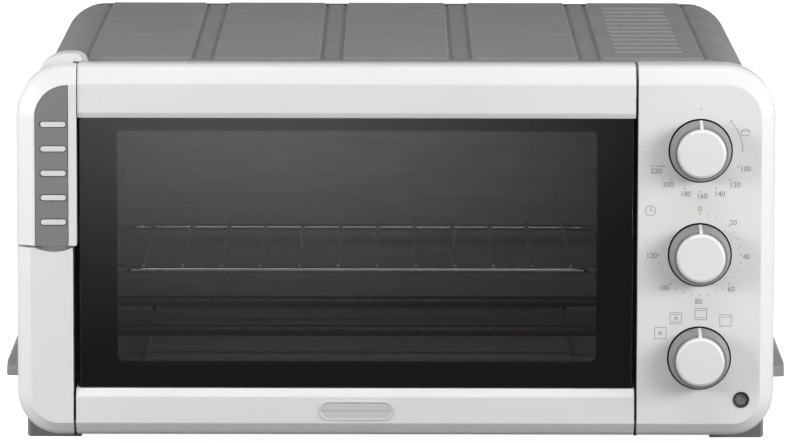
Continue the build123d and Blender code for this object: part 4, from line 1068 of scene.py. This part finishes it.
def roof_panels():
    """Left and right edge of each of the raised panels."""
    strips = [(number - (STRIP_COUNT - 1) / 2) * STRIP_PITCH for number in range(STRIP_COUNT)]
    lefts = [-ROOF_EDGE] + [x + STRIP_WIDTH / 2 for x in strips]
    rights = [x - STRIP_WIDTH / 2 for x in strips] + [ROOF_EDGE]
    return list(zip(lefts, rights))


def raise_panels(bm):
    """Cut the roof along the folds, lift the panels between them and sink a groove along each side."""
    ends = (case_low.y + PANEL_END, case_high.y - PANEL_END)
    cuts = [((0, y, 0), DEEP) for y in ends]
    for left, right in roof_panels():
        folds = (left - GROOVE_HALF, left, left + PANEL_SLOPE)
        folds += (right - PANEL_SLOPE, right, right + GROOVE_HALF)
        cuts += [((x, 0, 0), ACROSS) for x in folds]
    for place, direction in cuts:
        bmesh.ops.bisect_plane(bm, geom=whole(bm), plane_co=place, plane_no=direction)
    roof = [v for v in bm.verts if v.co.z > ROOF_Z - HAIR and ends[0] - HAIR < v.co.y < ends[1] + HAIR]
    for left, right in roof_panels():
        lifted = [v for v in roof if left + PANEL_SLOPE - HAIR < v.co.x < right - PANEL_SLOPE + HAIR]
        bmesh.ops.translate(bm, verts=lifted, vec=UP * PANEL_RISE)
        sunk = [v for v in roof if min(abs(v.co.x - left), abs(v.co.x - right)) < HAIR]
        bmesh.ops.translate(bm, verts=sunk, vec=-UP * GROOVE_SINK)


print("roof panels", [[round(x / MM) for x in panel] for panel in roof_panels()])

# %% [markdown]
# Louvres
#
# Warm air from behind the dials leaves through twelve slots in the right-hand panel of the roof.
# Behind each slot the sheet is pushed up into a low hood. A hood starts as a block whose top is
# drawn together into a ridge, which is then rounded.

# %% Louvres
CASE_SHEET = 0.6 * MM
LOUVRE_COUNT = 12
LOUVRE_PITCH = 23.5 * MM
LOUVRE_FIRST_Y = FRONT_Y + 52 * MM
LOUVRE_X = (127 * MM, 168 * MM)
LOUVRE_DEEP = 11 * MM
LOUVRE_CREST = 2.4 * MM
LOUVRE_HIP = 1.6 * MM
LOUVRE_ROUND = 1.1 * MM
LOUVRE_STEPS = 4
LOUVRE_SLOT = 3.2 * MM


def louvre(number):
    """A low hood behind a slot: steep and rounded in front, falling gently to the back."""
    front_y = LOUVRE_FIRST_Y + number * LOUVRE_PITCH + LOUVRE_SLOT / 2
    low = (LOUVRE_X[0], front_y, PANEL_Z - CASE_SHEET / 2)
    bm = block(low, (LOUVRE_X[1], front_y + LOUVRE_DEEP, PANEL_Z + LOUVRE_RISE))
    centre_x = sum(LOUVRE_X) / 2
    for vert in bm.verts:
        if vert.co.z > PANEL_Z:
            vert.co.y = front_y + LOUVRE_CREST
            vert.co.x += LOUVRE_HIP if vert.co.x < centre_x else -LOUVRE_HIP
    bmesh.ops.remove_doubles(bm, verts=bm.verts, dist=HAIR)
    ridges = [e for e in bm.edges if any(v.co.z > PANEL_Z for v in e.verts)]
    round_edges(bm, ridges, LOUVRE_ROUND, LOUVRE_STEPS)
    return bm


def cut_slots(bm):
    """Cut the slots out of the case."""
    for number in range(LOUVRE_COUNT):
        slot_y = LOUVRE_FIRST_Y + number * LOUVRE_PITCH
        low = (LOUVRE_X[0], slot_y - LOUVRE_SLOT / 2, ROOF_Z)
        bm = carve(bm, block(low, (LOUVRE_X[1], slot_y + LOUVRE_SLOT / 2, PANEL_Z + LOUVRE_RISE)))
    return bm


print("louvres", LOUVRE_COUNT, "over", round(LOUVRE_COUNT * LOUVRE_PITCH / MM), "mm")

# %% [markdown]
# Folding the case
#
# The wrap starts as a block whose upper edges are rounded. Its back and underside are taken away,
# and its front is turned in as a narrow flange. When the roof has been shaped and its folds are
# softened with a bevel, the skin gets its thickness, and only then are the slots cut.

# %% Case
CASE_CORNER_RADIUS = 24 * MM
CASE_CORNER_STEPS = 16
CASE_FLANGE = 4.5 * MM
CASE_REACH = 0.15 * MM
CASE_SIDE_REACH = 1.1 * MM
CASE_KEEP_SHARP = 50
FOLD_RADIUS = 0.4 * MM
FOLD_TURN = 12


def make_case():
    """Folded sheet over both sides and the top, with raised panels and louvres."""
    low = case_low - DEEP * CASE_REACH - ACROSS * CASE_SIDE_REACH
    bm = block(low, (case_high.x + CASE_SIDE_REACH, case_high.y, ROOF_Z))
    upper = edges_along(bm, DEEP, lambda place: place.z > ROOF_Z - FOLD_RADIUS)
    round_edges(bm, upper, CASE_CORNER_RADIUS, CASE_CORNER_STEPS)
    front = inset_front(bm, CASE_FLANGE, 0)
    open_sides = [f for f in bm.faces if f.normal.y > FACING or f.normal.z < -FACING]
    bmesh.ops.delete(bm, geom=open_sides + [front], context="FACES")
    raise_panels(bm)
    soften(bm, FOLD_RADIUS, FINE, FOLD_TURN)
    bmesh.ops.recalc_face_normals(bm, faces=bm.faces)
    bmesh.ops.solidify(bm, geom=bm.faces[:], thickness=CASE_SHEET)
    bm = cut_slots(bm)
    for number in range(LOUVRE_COUNT):
        join_in(bm, louvre(number))
    finish_piece("steel_case", bm, "oven", case_paint, ["outer_case"], CASE_KEEP_SHARP)


make_case()

# %% [markdown]
# Knob skirts
#
# Each knob is two mouldings: a grey conical skirt and a white cap with a pointer rib that runs
# down the skirt. Both are round, so their outlines are spun about the shaft. An outline is written
# in millimetres, as radius and depth, and depth counts from the face of the panel towards the back.

# %% Knob skirts
SKIRT_FOOT_RADIUS = 17.7
SKIRT_TOP_RADIUS = 15.6
SKIRT_FOOT_DEPTH = -0.6
SKIRT_BAND_DEPTH = -2.0
SKIRT_TOP_DEPTH = -12.5
SKIRT_WALL = 2.4
BOSS_RADIUS = 6.0
SHAFT_RADIUS = 3.1
KNOB_EDGE = 0.35 * MM
KNOB_STEPS = 96
SKIRT_TURN = 10


def knob_skirt(centre):
    """Hollow grey cone with a boss for the shaft."""
    room_top = SKIRT_TOP_DEPTH + SKIRT_WALL
    outline = [
        (SHAFT_RADIUS, SKIRT_FOOT_DEPTH),
        (BOSS_RADIUS, SKIRT_FOOT_DEPTH),
        (BOSS_RADIUS, room_top),
        (SKIRT_TOP_RADIUS - SKIRT_WALL, room_top),
        (SKIRT_FOOT_RADIUS - SKIRT_WALL, SKIRT_FOOT_DEPTH),
        (SKIRT_FOOT_RADIUS, SKIRT_FOOT_DEPTH),
        (SKIRT_FOOT_RADIUS, SKIRT_BAND_DEPTH),
        (SKIRT_TOP_RADIUS, SKIRT_TOP_DEPTH),
        (SHAFT_RADIUS, SKIRT_TOP_DEPTH),
        (SHAFT_RADIUS, SKIRT_FOOT_DEPTH),
    ]
    bm = turned_piece(centre, outline, KNOB_STEPS)
    soften(bm, KNOB_EDGE, least_turn=SKIRT_TURN)
    return bm


print("skirt", 2 * SKIRT_FOOT_RADIUS, "mm across at its foot")

# %% [markdown]
# Knob caps
#
# The white cap is a disc with a sloped rim on a narrower neck. Its pointer rib is a thin slice,
# sawn from a body that is spun slightly fatter than the skirt.

# %% Knob caps
CAP_RADIUS = 14.0
CAP_FACE_DEPTH = -18.0
CAP_CHAMFER = 1.3
CAP_GROOVE = 0.5
RIB_PROUD = 0.5
RIB_HALF_WIDTH = 0.9 * MM


def knob_cap(centre):
    """White disc with a sloped rim, standing on a narrower neck."""
    outline = [
        (0, SKIRT_TOP_DEPTH),
        (CAP_RADIUS - CAP_GROOVE, SKIRT_TOP_DEPTH),
        (CAP_RADIUS - CAP_GROOVE, SKIRT_TOP_DEPTH - CAP_GROOVE),
        (CAP_RADIUS, SKIRT_TOP_DEPTH - CAP_GROOVE),
        (CAP_RADIUS, CAP_FACE_DEPTH + CAP_CHAMFER),
        (CAP_RADIUS - CAP_CHAMFER, CAP_FACE_DEPTH),
        (0, CAP_FACE_DEPTH),
    ]
    bm = turned_piece(centre, outline, KNOB_STEPS)
    soften(bm, KNOB_EDGE)
    return bm


def pointer_rib(centre):
    """Thin slice of a body a little fatter than the skirt, from the cap down to its foot."""
    outline = [
        (0, SKIRT_FOOT_DEPTH),
        (SKIRT_FOOT_RADIUS, SKIRT_FOOT_DEPTH),
        (SKIRT_FOOT_RADIUS + RIB_PROUD / 3, SKIRT_BAND_DEPTH),
        (SKIRT_TOP_RADIUS + RIB_PROUD, SKIRT_TOP_DEPTH - RIB_PROUD),
        (CAP_RADIUS - CAP_GROOVE, SKIRT_TOP_DEPTH - 2 * RIB_PROUD),
        (0, SKIRT_TOP_DEPTH - 2 * RIB_PROUD),
    ]
    rib = turned_piece(centre, outline, KNOB_STEPS)
    saw(rib, centre + ACROSS * RIB_HALF_WIDTH, ACROSS)
    saw(rib, centre - ACROSS * RIB_HALF_WIDTH, -ACROSS)
    saw(rib, centre + UP * (SKIRT_TOP_RADIUS - SKIRT_WALL) * MM, -UP)
    soften(rib, KNOB_EDGE)
    return rib


print("cap", 2 * CAP_RADIUS, "mm across, rib", 2 * RIB_HALF_WIDTH / MM, "mm wide")

# %% [markdown]
# Wells and the three knobs
#
# A skirt stands over a well in the panel that is a little wider. A shallow black cup in the well is
# painted shade: it darkens the gap round the skirt into the dark ring in the photograph.

# %% The three knobs
SHADE_CUP_BORE = 4.5
SHADE_CUP_RADIUS = 18.55
SHADE_CUP_WALL = 0.4
SHADE_CUP_RIM_DEPTH = 0.15
SHADE_CUP_SEAT_DEPTH = 3.95


def well_shade_cup(centre):
    """Shallow black cup in the well under a knob: painted shade for the gap round the skirt."""
    floor = SHADE_CUP_SEAT_DEPTH - SHADE_CUP_WALL
    outline = [
        (SHADE_CUP_BORE, floor),
        (SHADE_CUP_RADIUS - SHADE_CUP_WALL, floor),
        (SHADE_CUP_RADIUS - SHADE_CUP_WALL, SHADE_CUP_RIM_DEPTH),
        (SHADE_CUP_RADIUS, SHADE_CUP_RIM_DEPTH),
        (SHADE_CUP_RADIUS, SHADE_CUP_SEAT_DEPTH),
        (SHADE_CUP_BORE, SHADE_CUP_SEAT_DEPTH),
        (SHADE_CUP_BORE, floor),
    ]
    return turned_piece(centre, outline, KNOB_STEPS)


def make_knobs():
    """Skirt and cap of the three knobs, and the black cups of painted shade in the wells they turn in."""
    for name, z in KNOB_Z.items():
        centre = Vector((KNOB_X, FRONT_Y, z))
        finish_piece(f"{name}_skirt", knob_skirt(centre), name, skirt_abs, [f"{name}_knob"])
        cap = knob_cap(centre)
        join_in(cap, pointer_rib(centre))
        finish_piece(f"{name}_knob_cap", cap, name, cap_abs, [f"{name}_cap"])
        # the black cup in each well is painted shade for the gap round the skirt
        finish_piece(f"{name}_well_shade_cup", well_shade_cup(centre), "oven", well_shade_black)


make_knobs()

# %% [markdown]
# Dial marks
#
# The scales round the knobs are screen-printed: figures, dots, one arc and a few small pictures
# in grey ink, thinner than paper. Figures are text, turned into a mesh before it is put in place.
# Lines are thin flat bars. Places are in millimetres, right of and above the middle of the knob.

# %% Tools for printed marks
FIGURE_SIZE = 4.3 * MM
INK_THICK = 0.04 * MM
THIN_LINE = 0.28
DOT_RADIUS = 0.42
MINOR_DOT_RADIUS = 0.32
DOT_SIDES = 12
ARC_STEPS = 12


def at(dial, x, z):
    """Place on the panel beside a knob."""
    return Vector((KNOB_X + x * MM, FRONT_Y, KNOB_Z[dial] + z * MM))


def on_ring(radius, degrees):
    """Across and up, for a place on a ring, clockwise from the top."""
    return radius * sin(radians(degrees)), radius * cos(radians(degrees))


def figures(bm, dial, marks):
    """Printed figures, each centred on its place."""
    for words, place in marks.items():
        text = bpy.data.curves.new("figure", "FONT")
        text.body = words
        text.size = FIGURE_SIZE
        text.align_x, text.align_y = "CENTER", "CENTER"
        thing = bpy.data.objects.new("figure", text)
        mesh = bpy.data.meshes.new_from_object(thing)
        upright = Matrix.Rotation(pi / 2, 4, "X")
        mesh.transform(Matrix.Translation(at(dial, *place) - DEEP * INK_THICK) @ upright)
        bm.from_mesh(mesh)
        bpy.data.objects.remove(thing)
        bpy.data.curves.remove(text)
        bpy.data.meshes.remove(mesh)


def stroke(bm, dial, start, end):
    """A thin printed line."""
    start, end = at(dial, *start), at(dial, *end)
    run = end - start
    size = Matrix.Diagonal((run.length + THIN_LINE * MM, INK_THICK, THIN_LINE * MM, 1))
    turn = Matrix((run.normalized(), DEEP, run.normalized().cross(DEEP))).transposed().to_4x4()
    place = Matrix.Translation((start + end) / 2 - DEEP * INK_THICK / 2) @ turn @ size
    bmesh.ops.create_cube(bm, size=1.0, matrix=place)


def picture(bm, dial, centre, lines):
    """A small drawing: each line runs through places to the right of and above the centre."""
    for line in lines:
        points = [(centre[0] + x, centre[1] + z) for x, z in line]
        for start, end in zip(points, points[1:]):
            stroke(bm, dial, start, end)


def dot(bm, dial, place, radius=DOT_RADIUS):
    """A printed dot."""
    centre = at(dial, *place)
    rod(centre, centre - DEEP * INK_THICK, radius * MM, DOT_SIDES, bm)


def arc(radius, first, last, steps=ARC_STEPS):
    """Places along an arc, clockwise from the top in degrees."""
    return [on_ring(radius, first + (last - first) * step / steps) for step in range(steps + 1)]


print("figures", FIGURE_SIZE / MM, "mm, lines", THIN_LINE, "mm")

# %% [markdown]
# Thermostat scale
#
# The thermostat is marked in degrees, with a dot on the ring for each figure. An arc with a small
# pot stands for keeping food warm, and a row of dots at the end for the grill. A dot on top is the
# off position.

# %% Thermostat scale
DOT_RING = 23.8
MIDDLE = (0, 0)
OFF_DOT = (0, 24.2)
WARM_RING = 24.3
WARM_ENDS = (45, 90)
WARM_TICKS = (23.2, 25.4)
DEGREE_FIGURES = {
    "100": (26.1, -10.6), "120": (20.0, -19.9), "140": (11.2, -25.2), "160": (1.0, -26.5),
    "180": (-8.5, -25.2), "200": (-18.6, -19.8), "220": (-25.6, -12.0),
}
FIRST_DEGREE_TURN, DEGREE_STEP = 112.5, 22.5
GRILL_DOTS, GRILL_ROW_START, GRILL_PITCH = 4, (-27.9, -8.9), 2.3
POT_PLACE = (25.8, 10.8)
POT = [
    [(-2.2, 0.9), (-2.0, -1.9), (2.0, -1.9), (2.2, 0.9)],
    [(-2.7, 0.9), (2.7, 0.9)],
    [(-1.8, 1.0), (-0.6, 1.9), (0.6, 1.9), (1.8, 1.0)],
]


def thermostat_scale():
    """Degrees, the keep-warm arc with its pot, and the row of dots for the grill."""
    bm = bmesh.new()
    dot(bm, "thermostat", OFF_DOT)
    ticks = [[on_ring(radius, turn) for radius in WARM_TICKS] for turn in WARM_ENDS]
    picture(bm, "thermostat", MIDDLE, [arc(WARM_RING, *WARM_ENDS)] + ticks)
    for number in range(len(DEGREE_FIGURES)):
        dot(bm, "thermostat", on_ring(DOT_RING, FIRST_DEGREE_TURN + DEGREE_STEP * number))
    figures(bm, "thermostat", DEGREE_FIGURES)
    for number in range(GRILL_DOTS):
        dot(bm, "thermostat", (GRILL_ROW_START[0] + GRILL_PITCH * number, GRILL_ROW_START[1]))
    picture(bm, "thermostat", POT_PLACE, POT)
    return bm


finish_piece("thermostat_scale", thermostat_scale(), "oven", print_ink)

# %% [markdown]
# Timer scale
#
# The clockwork timer has a dot for every five minutes. Every fourth dot is larger and has its
# figure. A small clock face says what the dial is for.

# %% Timer scale
TIMER_DOTS, TIMER_STEP, DOTS_PER_FIGURE = 25, 11.25, 4
MINUTE_FIGURES = {
    "0": (0, 26.6), "20": (19.2, 18.7), "40": (26.9, -1.2), "60": (18.4, -20.1),
    "80": (-0.6, -27.4), "100": (-20.7, -19.5), "120": (-27.9, -0.6),
}
CLOCK_PLACE = (-28.7, 25.7)
CLOCK_RADIUS = 2.9
CLOCK_HANDS = [(0, 2.0), (0, 0), (1.5, 0)]


def timer_scale():
    """Minutes and a small clock."""
    bm = bmesh.new()
    for number in range(TIMER_DOTS):
        radius = MINOR_DOT_RADIUS if number % DOTS_PER_FIGURE else DOT_RADIUS
        dot(bm, "timer", on_ring(DOT_RING, TIMER_STEP * number), radius)
    figures(bm, "timer", MINUTE_FIGURES)
    picture(bm, "timer", CLOCK_PLACE, [arc(CLOCK_RADIUS, 0, 360, 2 * ARC_STEPS), CLOCK_HANDS])
    return bm


finish_piece("timer_scale", timer_scale(), "oven", print_ink)

# %% [markdown]
# Selector scale
#
# Four small squares show the inside of the oven, with lines in them for what heats: a fan, a fan
# with top and bottom heat, top and bottom heat, and the grill.

# %% Selector scale
SQUARE = [(-3.3, -3.3), (-3.3, 3.3), (3.3, 3.3), (3.3, -3.3), (-3.3, -3.3)]
BOTTOM_HEAT = [[(-2.2, -2.1), (2.2, -2.1)]]
TOP_HEAT = [[(-2.2, 2.1), (2.2, 2.1)]]
GRILL = [[(x, 1.9), (x + 0.9, 1.9)] for x in (-2.2, -0.45, 1.3)]
FAN = [[(0, -1.5), (0, 1.5)], [(-1.3, -0.75), (1.3, 0.75)], [(-1.3, 0.75), (1.3, -0.75)]]
SELECTOR_PICTURES = {
    (-22.5, 14.6): FAN,
    (-13.6, 23.3): FAN + TOP_HEAT + BOTTOM_HEAT,
    (0.8, 25.8): TOP_HEAT + BOTTOM_HEAT,
    (15.2, 22.1): GRILL,
}


def selector_scale():
    """Four small pictures of what heats."""
    bm = bmesh.new()
    for place, lines in SELECTOR_PICTURES.items():
        picture(bm, "selector", place, [SQUARE] + lines)
    return bm


finish_piece("selector_scale", selector_scale(), "oven", print_ink)

# %% [markdown]
# Pilot lamp
#
# A dark bezel ring is pressed into the panel and narrows like a funnel down to a smoky lens, cut
# into small pyramids so that it glows evenly. The ring is spun. The pyramids are what is left
# between two sets of crossing V grooves.

# %% Pilot lamp
BEZEL_RADIUS = 4.75
BEZEL_LIP = 0.5
BEZEL_BORE = 3.4
BEZEL_CROWN_DEPTH = -0.6
BEZEL_CROWN_SLOPE = 0.2
BEZEL_MOUTH = 4.4
BEZEL_THROAT_DEPTH = 1.5
BEZEL_SEAT_DEPTH = 5.0
BEZEL_EDGE = KNOB_EDGE / 3
LENS_FACE_DEPTH = 1.3
LENS_SIDES = 48
GROOVE_PITCH = 1.4 * MM
GROOVE_DEEP = 0.9 * MM
GROOVE_SHARE = 0.45
GROOVES_PER_SIDE = 2


def bezel_ring(centre):
    """Ring with a thin lip on the panel and a funnel down to the lens."""
    ring = turned_piece(centre, [
        (BEZEL_BORE, BEZEL_SEAT_DEPTH),
        (BEZEL_RADIUS - BEZEL_LIP, BEZEL_SEAT_DEPTH),
        (BEZEL_RADIUS - BEZEL_LIP, 0),
        (BEZEL_RADIUS, 0),
        (BEZEL_RADIUS, BEZEL_CROWN_DEPTH / 2),
        (BEZEL_RADIUS - BEZEL_CROWN_SLOPE, BEZEL_CROWN_DEPTH),
        (BEZEL_MOUTH, BEZEL_CROWN_DEPTH),
        (BEZEL_BORE, BEZEL_THROAT_DEPTH),
        (BEZEL_BORE, BEZEL_SEAT_DEPTH),
    ], LENS_SIDES)
    soften(ring, BEZEL_EDGE)
    return ring


def cut_lens(centre):
    """Plug of smoky plastic with V grooves across its face, slanting both ways."""
    face = centre + DEEP * LENS_FACE_DEPTH * MM
    lens = rod(face, centre + DEEP * BEZEL_SEAT_DEPTH * MM, BEZEL_BORE * MM, LENS_SIDES)
    reach = 2 * BEZEL_BORE * MM
    for slant in (1, -1):
        along = (ACROSS + UP * slant).normalized()
        beside = DEEP.cross(along)
        half = beside * GROOVE_PITCH * GROOVE_SHARE
        for step in range(-GROOVES_PER_SIDE, GROOVES_PER_SIDE + 1):
            start = face + beside * step * GROOVE_PITCH - along * reach
            sink = DEEP * GROOVE_DEEP
            groove = prism([start - half - sink, start + sink, start + half - sink], along * 2 * reach)
            lens = carve(lens, groove)
    return lens


lamp_centre = middle("pilot_lamp_bezel")
lamp_centre.y = FRONT_Y
ring, lens = bezel_ring(lamp_centre), cut_lens(lamp_centre)
finish_piece("lamp_bezel_ring", ring, "oven", ring_abs, ["pilot_lamp_bezel"])
finish_piece("lamp_cut_lens", lens, "oven", lamp_lens, ["pilot_lamp_lens"])

# %% [markdown]
# Carrying hoods
#
# A moulded hood low on each side gives the hands a hold: it slopes out to a short upright grip band
# and is hollow below. The ends of the band lean back a little, the slope above starts behind them.
# Band and slope are profiles pushed along the depth. Each is rounded and hollowed alone, because
# carving goes wrong where closed parts overlap.

# %% Carrying hoods
HOOD_DROP = 2 * MM
HOOD_TIP_FOOT = 22.8 * MM
HOOD_TIP_TOP = 30.7 * MM
HOOD_BAND_TOP = 29 * MM
HOOD_STEP = 2.2 * MM
HOOD_LEAN = 3 * MM
HOOD_WALL = 3 * MM
HOOD_ROOF = 6 * MM
HOOD_EDGE = 1 * MM
HOOD_TURN = 5


def make_hood(side, sign):
    """Sloping hood with an upright grip band, hollow below."""
    node = f"side_handle_{side}"
    low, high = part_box(node)
    base, tip = sign * case_high.x, max(low.x, high.x, key=abs)
    foot, top = low.z - HOOD_DROP, high.z - HOOD_DROP
    band_outline = [(base, foot), (tip, HOOD_TIP_FOOT), (tip, HOOD_BAND_TOP), (base, HOOD_BAND_TOP)]
    band = profile_bar(band_outline, low.y, high.y)
    for vert in band.verts:
        if vert.co.z > HOOD_TIP_FOOT + HOOD_EDGE:
            vert.co.y += HOOD_LEAN if vert.co.y < 0 else -HOOD_LEAN
    setback = HOOD_STEP + HOOD_LEAN
    slope_foot = HOOD_BAND_TOP - HOOD_EDGE
    slope_outline = [(base, slope_foot), (tip, slope_foot), (tip, HOOD_TIP_TOP), (base, top)]
    slope = profile_bar(slope_outline, low.y + setback, high.y - setback)
    room_base, room_tip = base - sign * HOOD_WALL, tip - sign * HOOD_WALL
    room = [(room_base, foot - HOOD_WALL), (room_tip, foot - HOOD_WALL)]
    room += [(room_tip, HOOD_TIP_TOP - HOOD_WALL / 3), (room_base, top - HOOD_ROOF)]
    room_end = setback + HOOD_WALL
    hood = bmesh.new()
    for part in (band, slope):
        edges = sharp_edges(part, HOOD_TURN)
        outside = [e for e in edges if any(abs(v.co.x - base) > HOOD_EDGE for v in e.verts)]
        round_edges(part, outside, HOOD_EDGE, FINE)
        join_in(hood, carve(part, profile_bar(room, low.y + room_end, high.y - room_end)))
    finish_piece(f"carrying_hood_{side}", hood, "oven", grained_polypropylene, [node])


print("hood walls", HOOD_WALL / MM, "mm thick, hung", HOOD_DROP / MM, "mm lower than the solid's")

# %% [markdown]
# Feet
#
# A foot under each corner is a short profile with an ear that shows beside the case. Its two outer
# upright corners are sawn off at a slant. Each side of the oven then gets its hood and its two feet.

# %% Feet, and the hoods in place
FOOT_CUT = Vector((1.6 * MM, 4 * MM, 0))
FOOT_TRIM = 0.5 * MM
FOOT_EDGE = 0.5 * MM
FOOT_TURN = 20
SIDES = {"left": -1, "right": 1}


def make_foot(name, sign):
    """Foot with an ear up the side of the case."""
    low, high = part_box(f"foot_{name}")
    inner, outer = sorted((low.x, high.x), key=abs)
    outer -= sign * FOOT_TRIM
    ear, ear_foot = sign * case_high.x, case_low.z
    outline = [(inner, low.z), (outer, low.z), (outer, high.z), (ear, high.z), (ear, ear_foot)]
    bm = profile_bar(outline + [(inner, ear_foot)], low.y, high.y)
    for end, facing in ((low.y, -1), (high.y, 1)):
        place = Vector((outer - sign * FOOT_CUT.x, end, 0))
        saw(bm, place, Vector((sign * FOOT_CUT.y, facing * FOOT_CUT.x, 0)))
    soften(bm, FOOT_EDGE, least_turn=FOOT_TURN)
    # the feet's darker polypropylene is painted shade for the shadow under the front
    finish_piece(f"{name}_foot", bm, "oven", foot_shade_polypropylene, [f"foot_{name}"])


for side, sign in SIDES.items():
    make_hood(side, sign)
    for end in ("front", "rear"):
        make_foot(f"{end}_{side}", sign)

# %% [markdown]
# Wire rack
#
# The rack is a rail bent into a round-cornered frame, with twelve thinner wires welded across it.
# The rail is a ring of points pushed along each side and spun round each corner, until it meets
# its own beginning.

# %% Wire rack
RAIL_RADIUS = 1.9 * MM
WIRE_RADIUS = 1.2 * MM
WIRE_COUNT = 12
WIRE_PITCH = 22.85 * MM
WIRE_OVERHANG = 1 * MM
WIRE_ROUND = 0.6 * WIRE_RADIUS
WIRE_END_TURN = 60
WIRE_SIDES, RAIL_SIDES = 12, 16
RACK_CORNER = 14 * MM
RACK_CORNER_STEPS = 8


def bent_rail(low, high, z):
    """Closed tube round a rectangle with round corners."""
    bm = bmesh.new()
    place = Vector((low.x + RACK_CORNER, low.y, z))
    upright = Matrix.Translation(place) @ Matrix.Rotation(pi / 2, 4, "Y")
    bmesh.ops.create_circle(bm, segments=RAIL_SIDES, radius=RAIL_RADIUS, matrix=upright)
    ring = bm.verts[:] + bm.edges[:]
    heading = ACROSS
    spans = (high.x - low.x - 2 * RACK_CORNER, high.y - low.y - 2 * RACK_CORNER)
    for span in spans * 2:
        pushed = bmesh.ops.extrude_edge_only(bm, edges=of_kind(ring, bmesh.types.BMEdge))["geom"]
        ring = of_kind(pushed, (bmesh.types.BMVert, bmesh.types.BMEdge))
        bmesh.ops.translate(bm, verts=of_kind(ring, bmesh.types.BMVert), vec=heading * span)
        place = place + heading * span
        side = UP.cross(heading)
        bend = bmesh.ops.spin(bm, geom=ring, cent=place + side * RACK_CORNER, axis=UP, angle=pi / 2,
                              steps=RACK_CORNER_STEPS)
        ring = of_kind(bend["geom_last"], (bmesh.types.BMVert, bmesh.types.BMEdge))
        place = place + (heading + side) * RACK_CORNER
        heading = side
    bmesh.ops.remove_doubles(bm, verts=bm.verts, dist=HAIR)
    bmesh.ops.recalc_face_normals(bm, faces=bm.faces)
    return bm


def make_rack():
    """Rail and cross wires."""
    low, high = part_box("wire_rack")
    rail_z = low.z + RAIL_RADIUS
    rail_low = Vector((low.x + RAIL_RADIUS, low.y + WIRE_OVERHANG, rail_z))
    rail_high = Vector((high.x - RAIL_RADIUS, high.y - WIRE_OVERHANG, rail_z))
    bm = bent_rail(rail_low, rail_high, rail_z)
    wire_z = high.z - WIRE_RADIUS
    first = (low.x + high.x - (WIRE_COUNT - 1) * WIRE_PITCH) / 2
    for number in range(WIRE_COUNT):
        x = first + number * WIRE_PITCH
        wire = rod((x, low.y, wire_z), (x, high.y, wire_z), WIRE_RADIUS, WIRE_SIDES)
        soften(wire, WIRE_ROUND, FINE, WIRE_END_TURN)
        join_in(bm, wire)
    finish_piece("chromed_rack", bm, "rack", chrome_wire, ["wire_rack"])


make_rack()
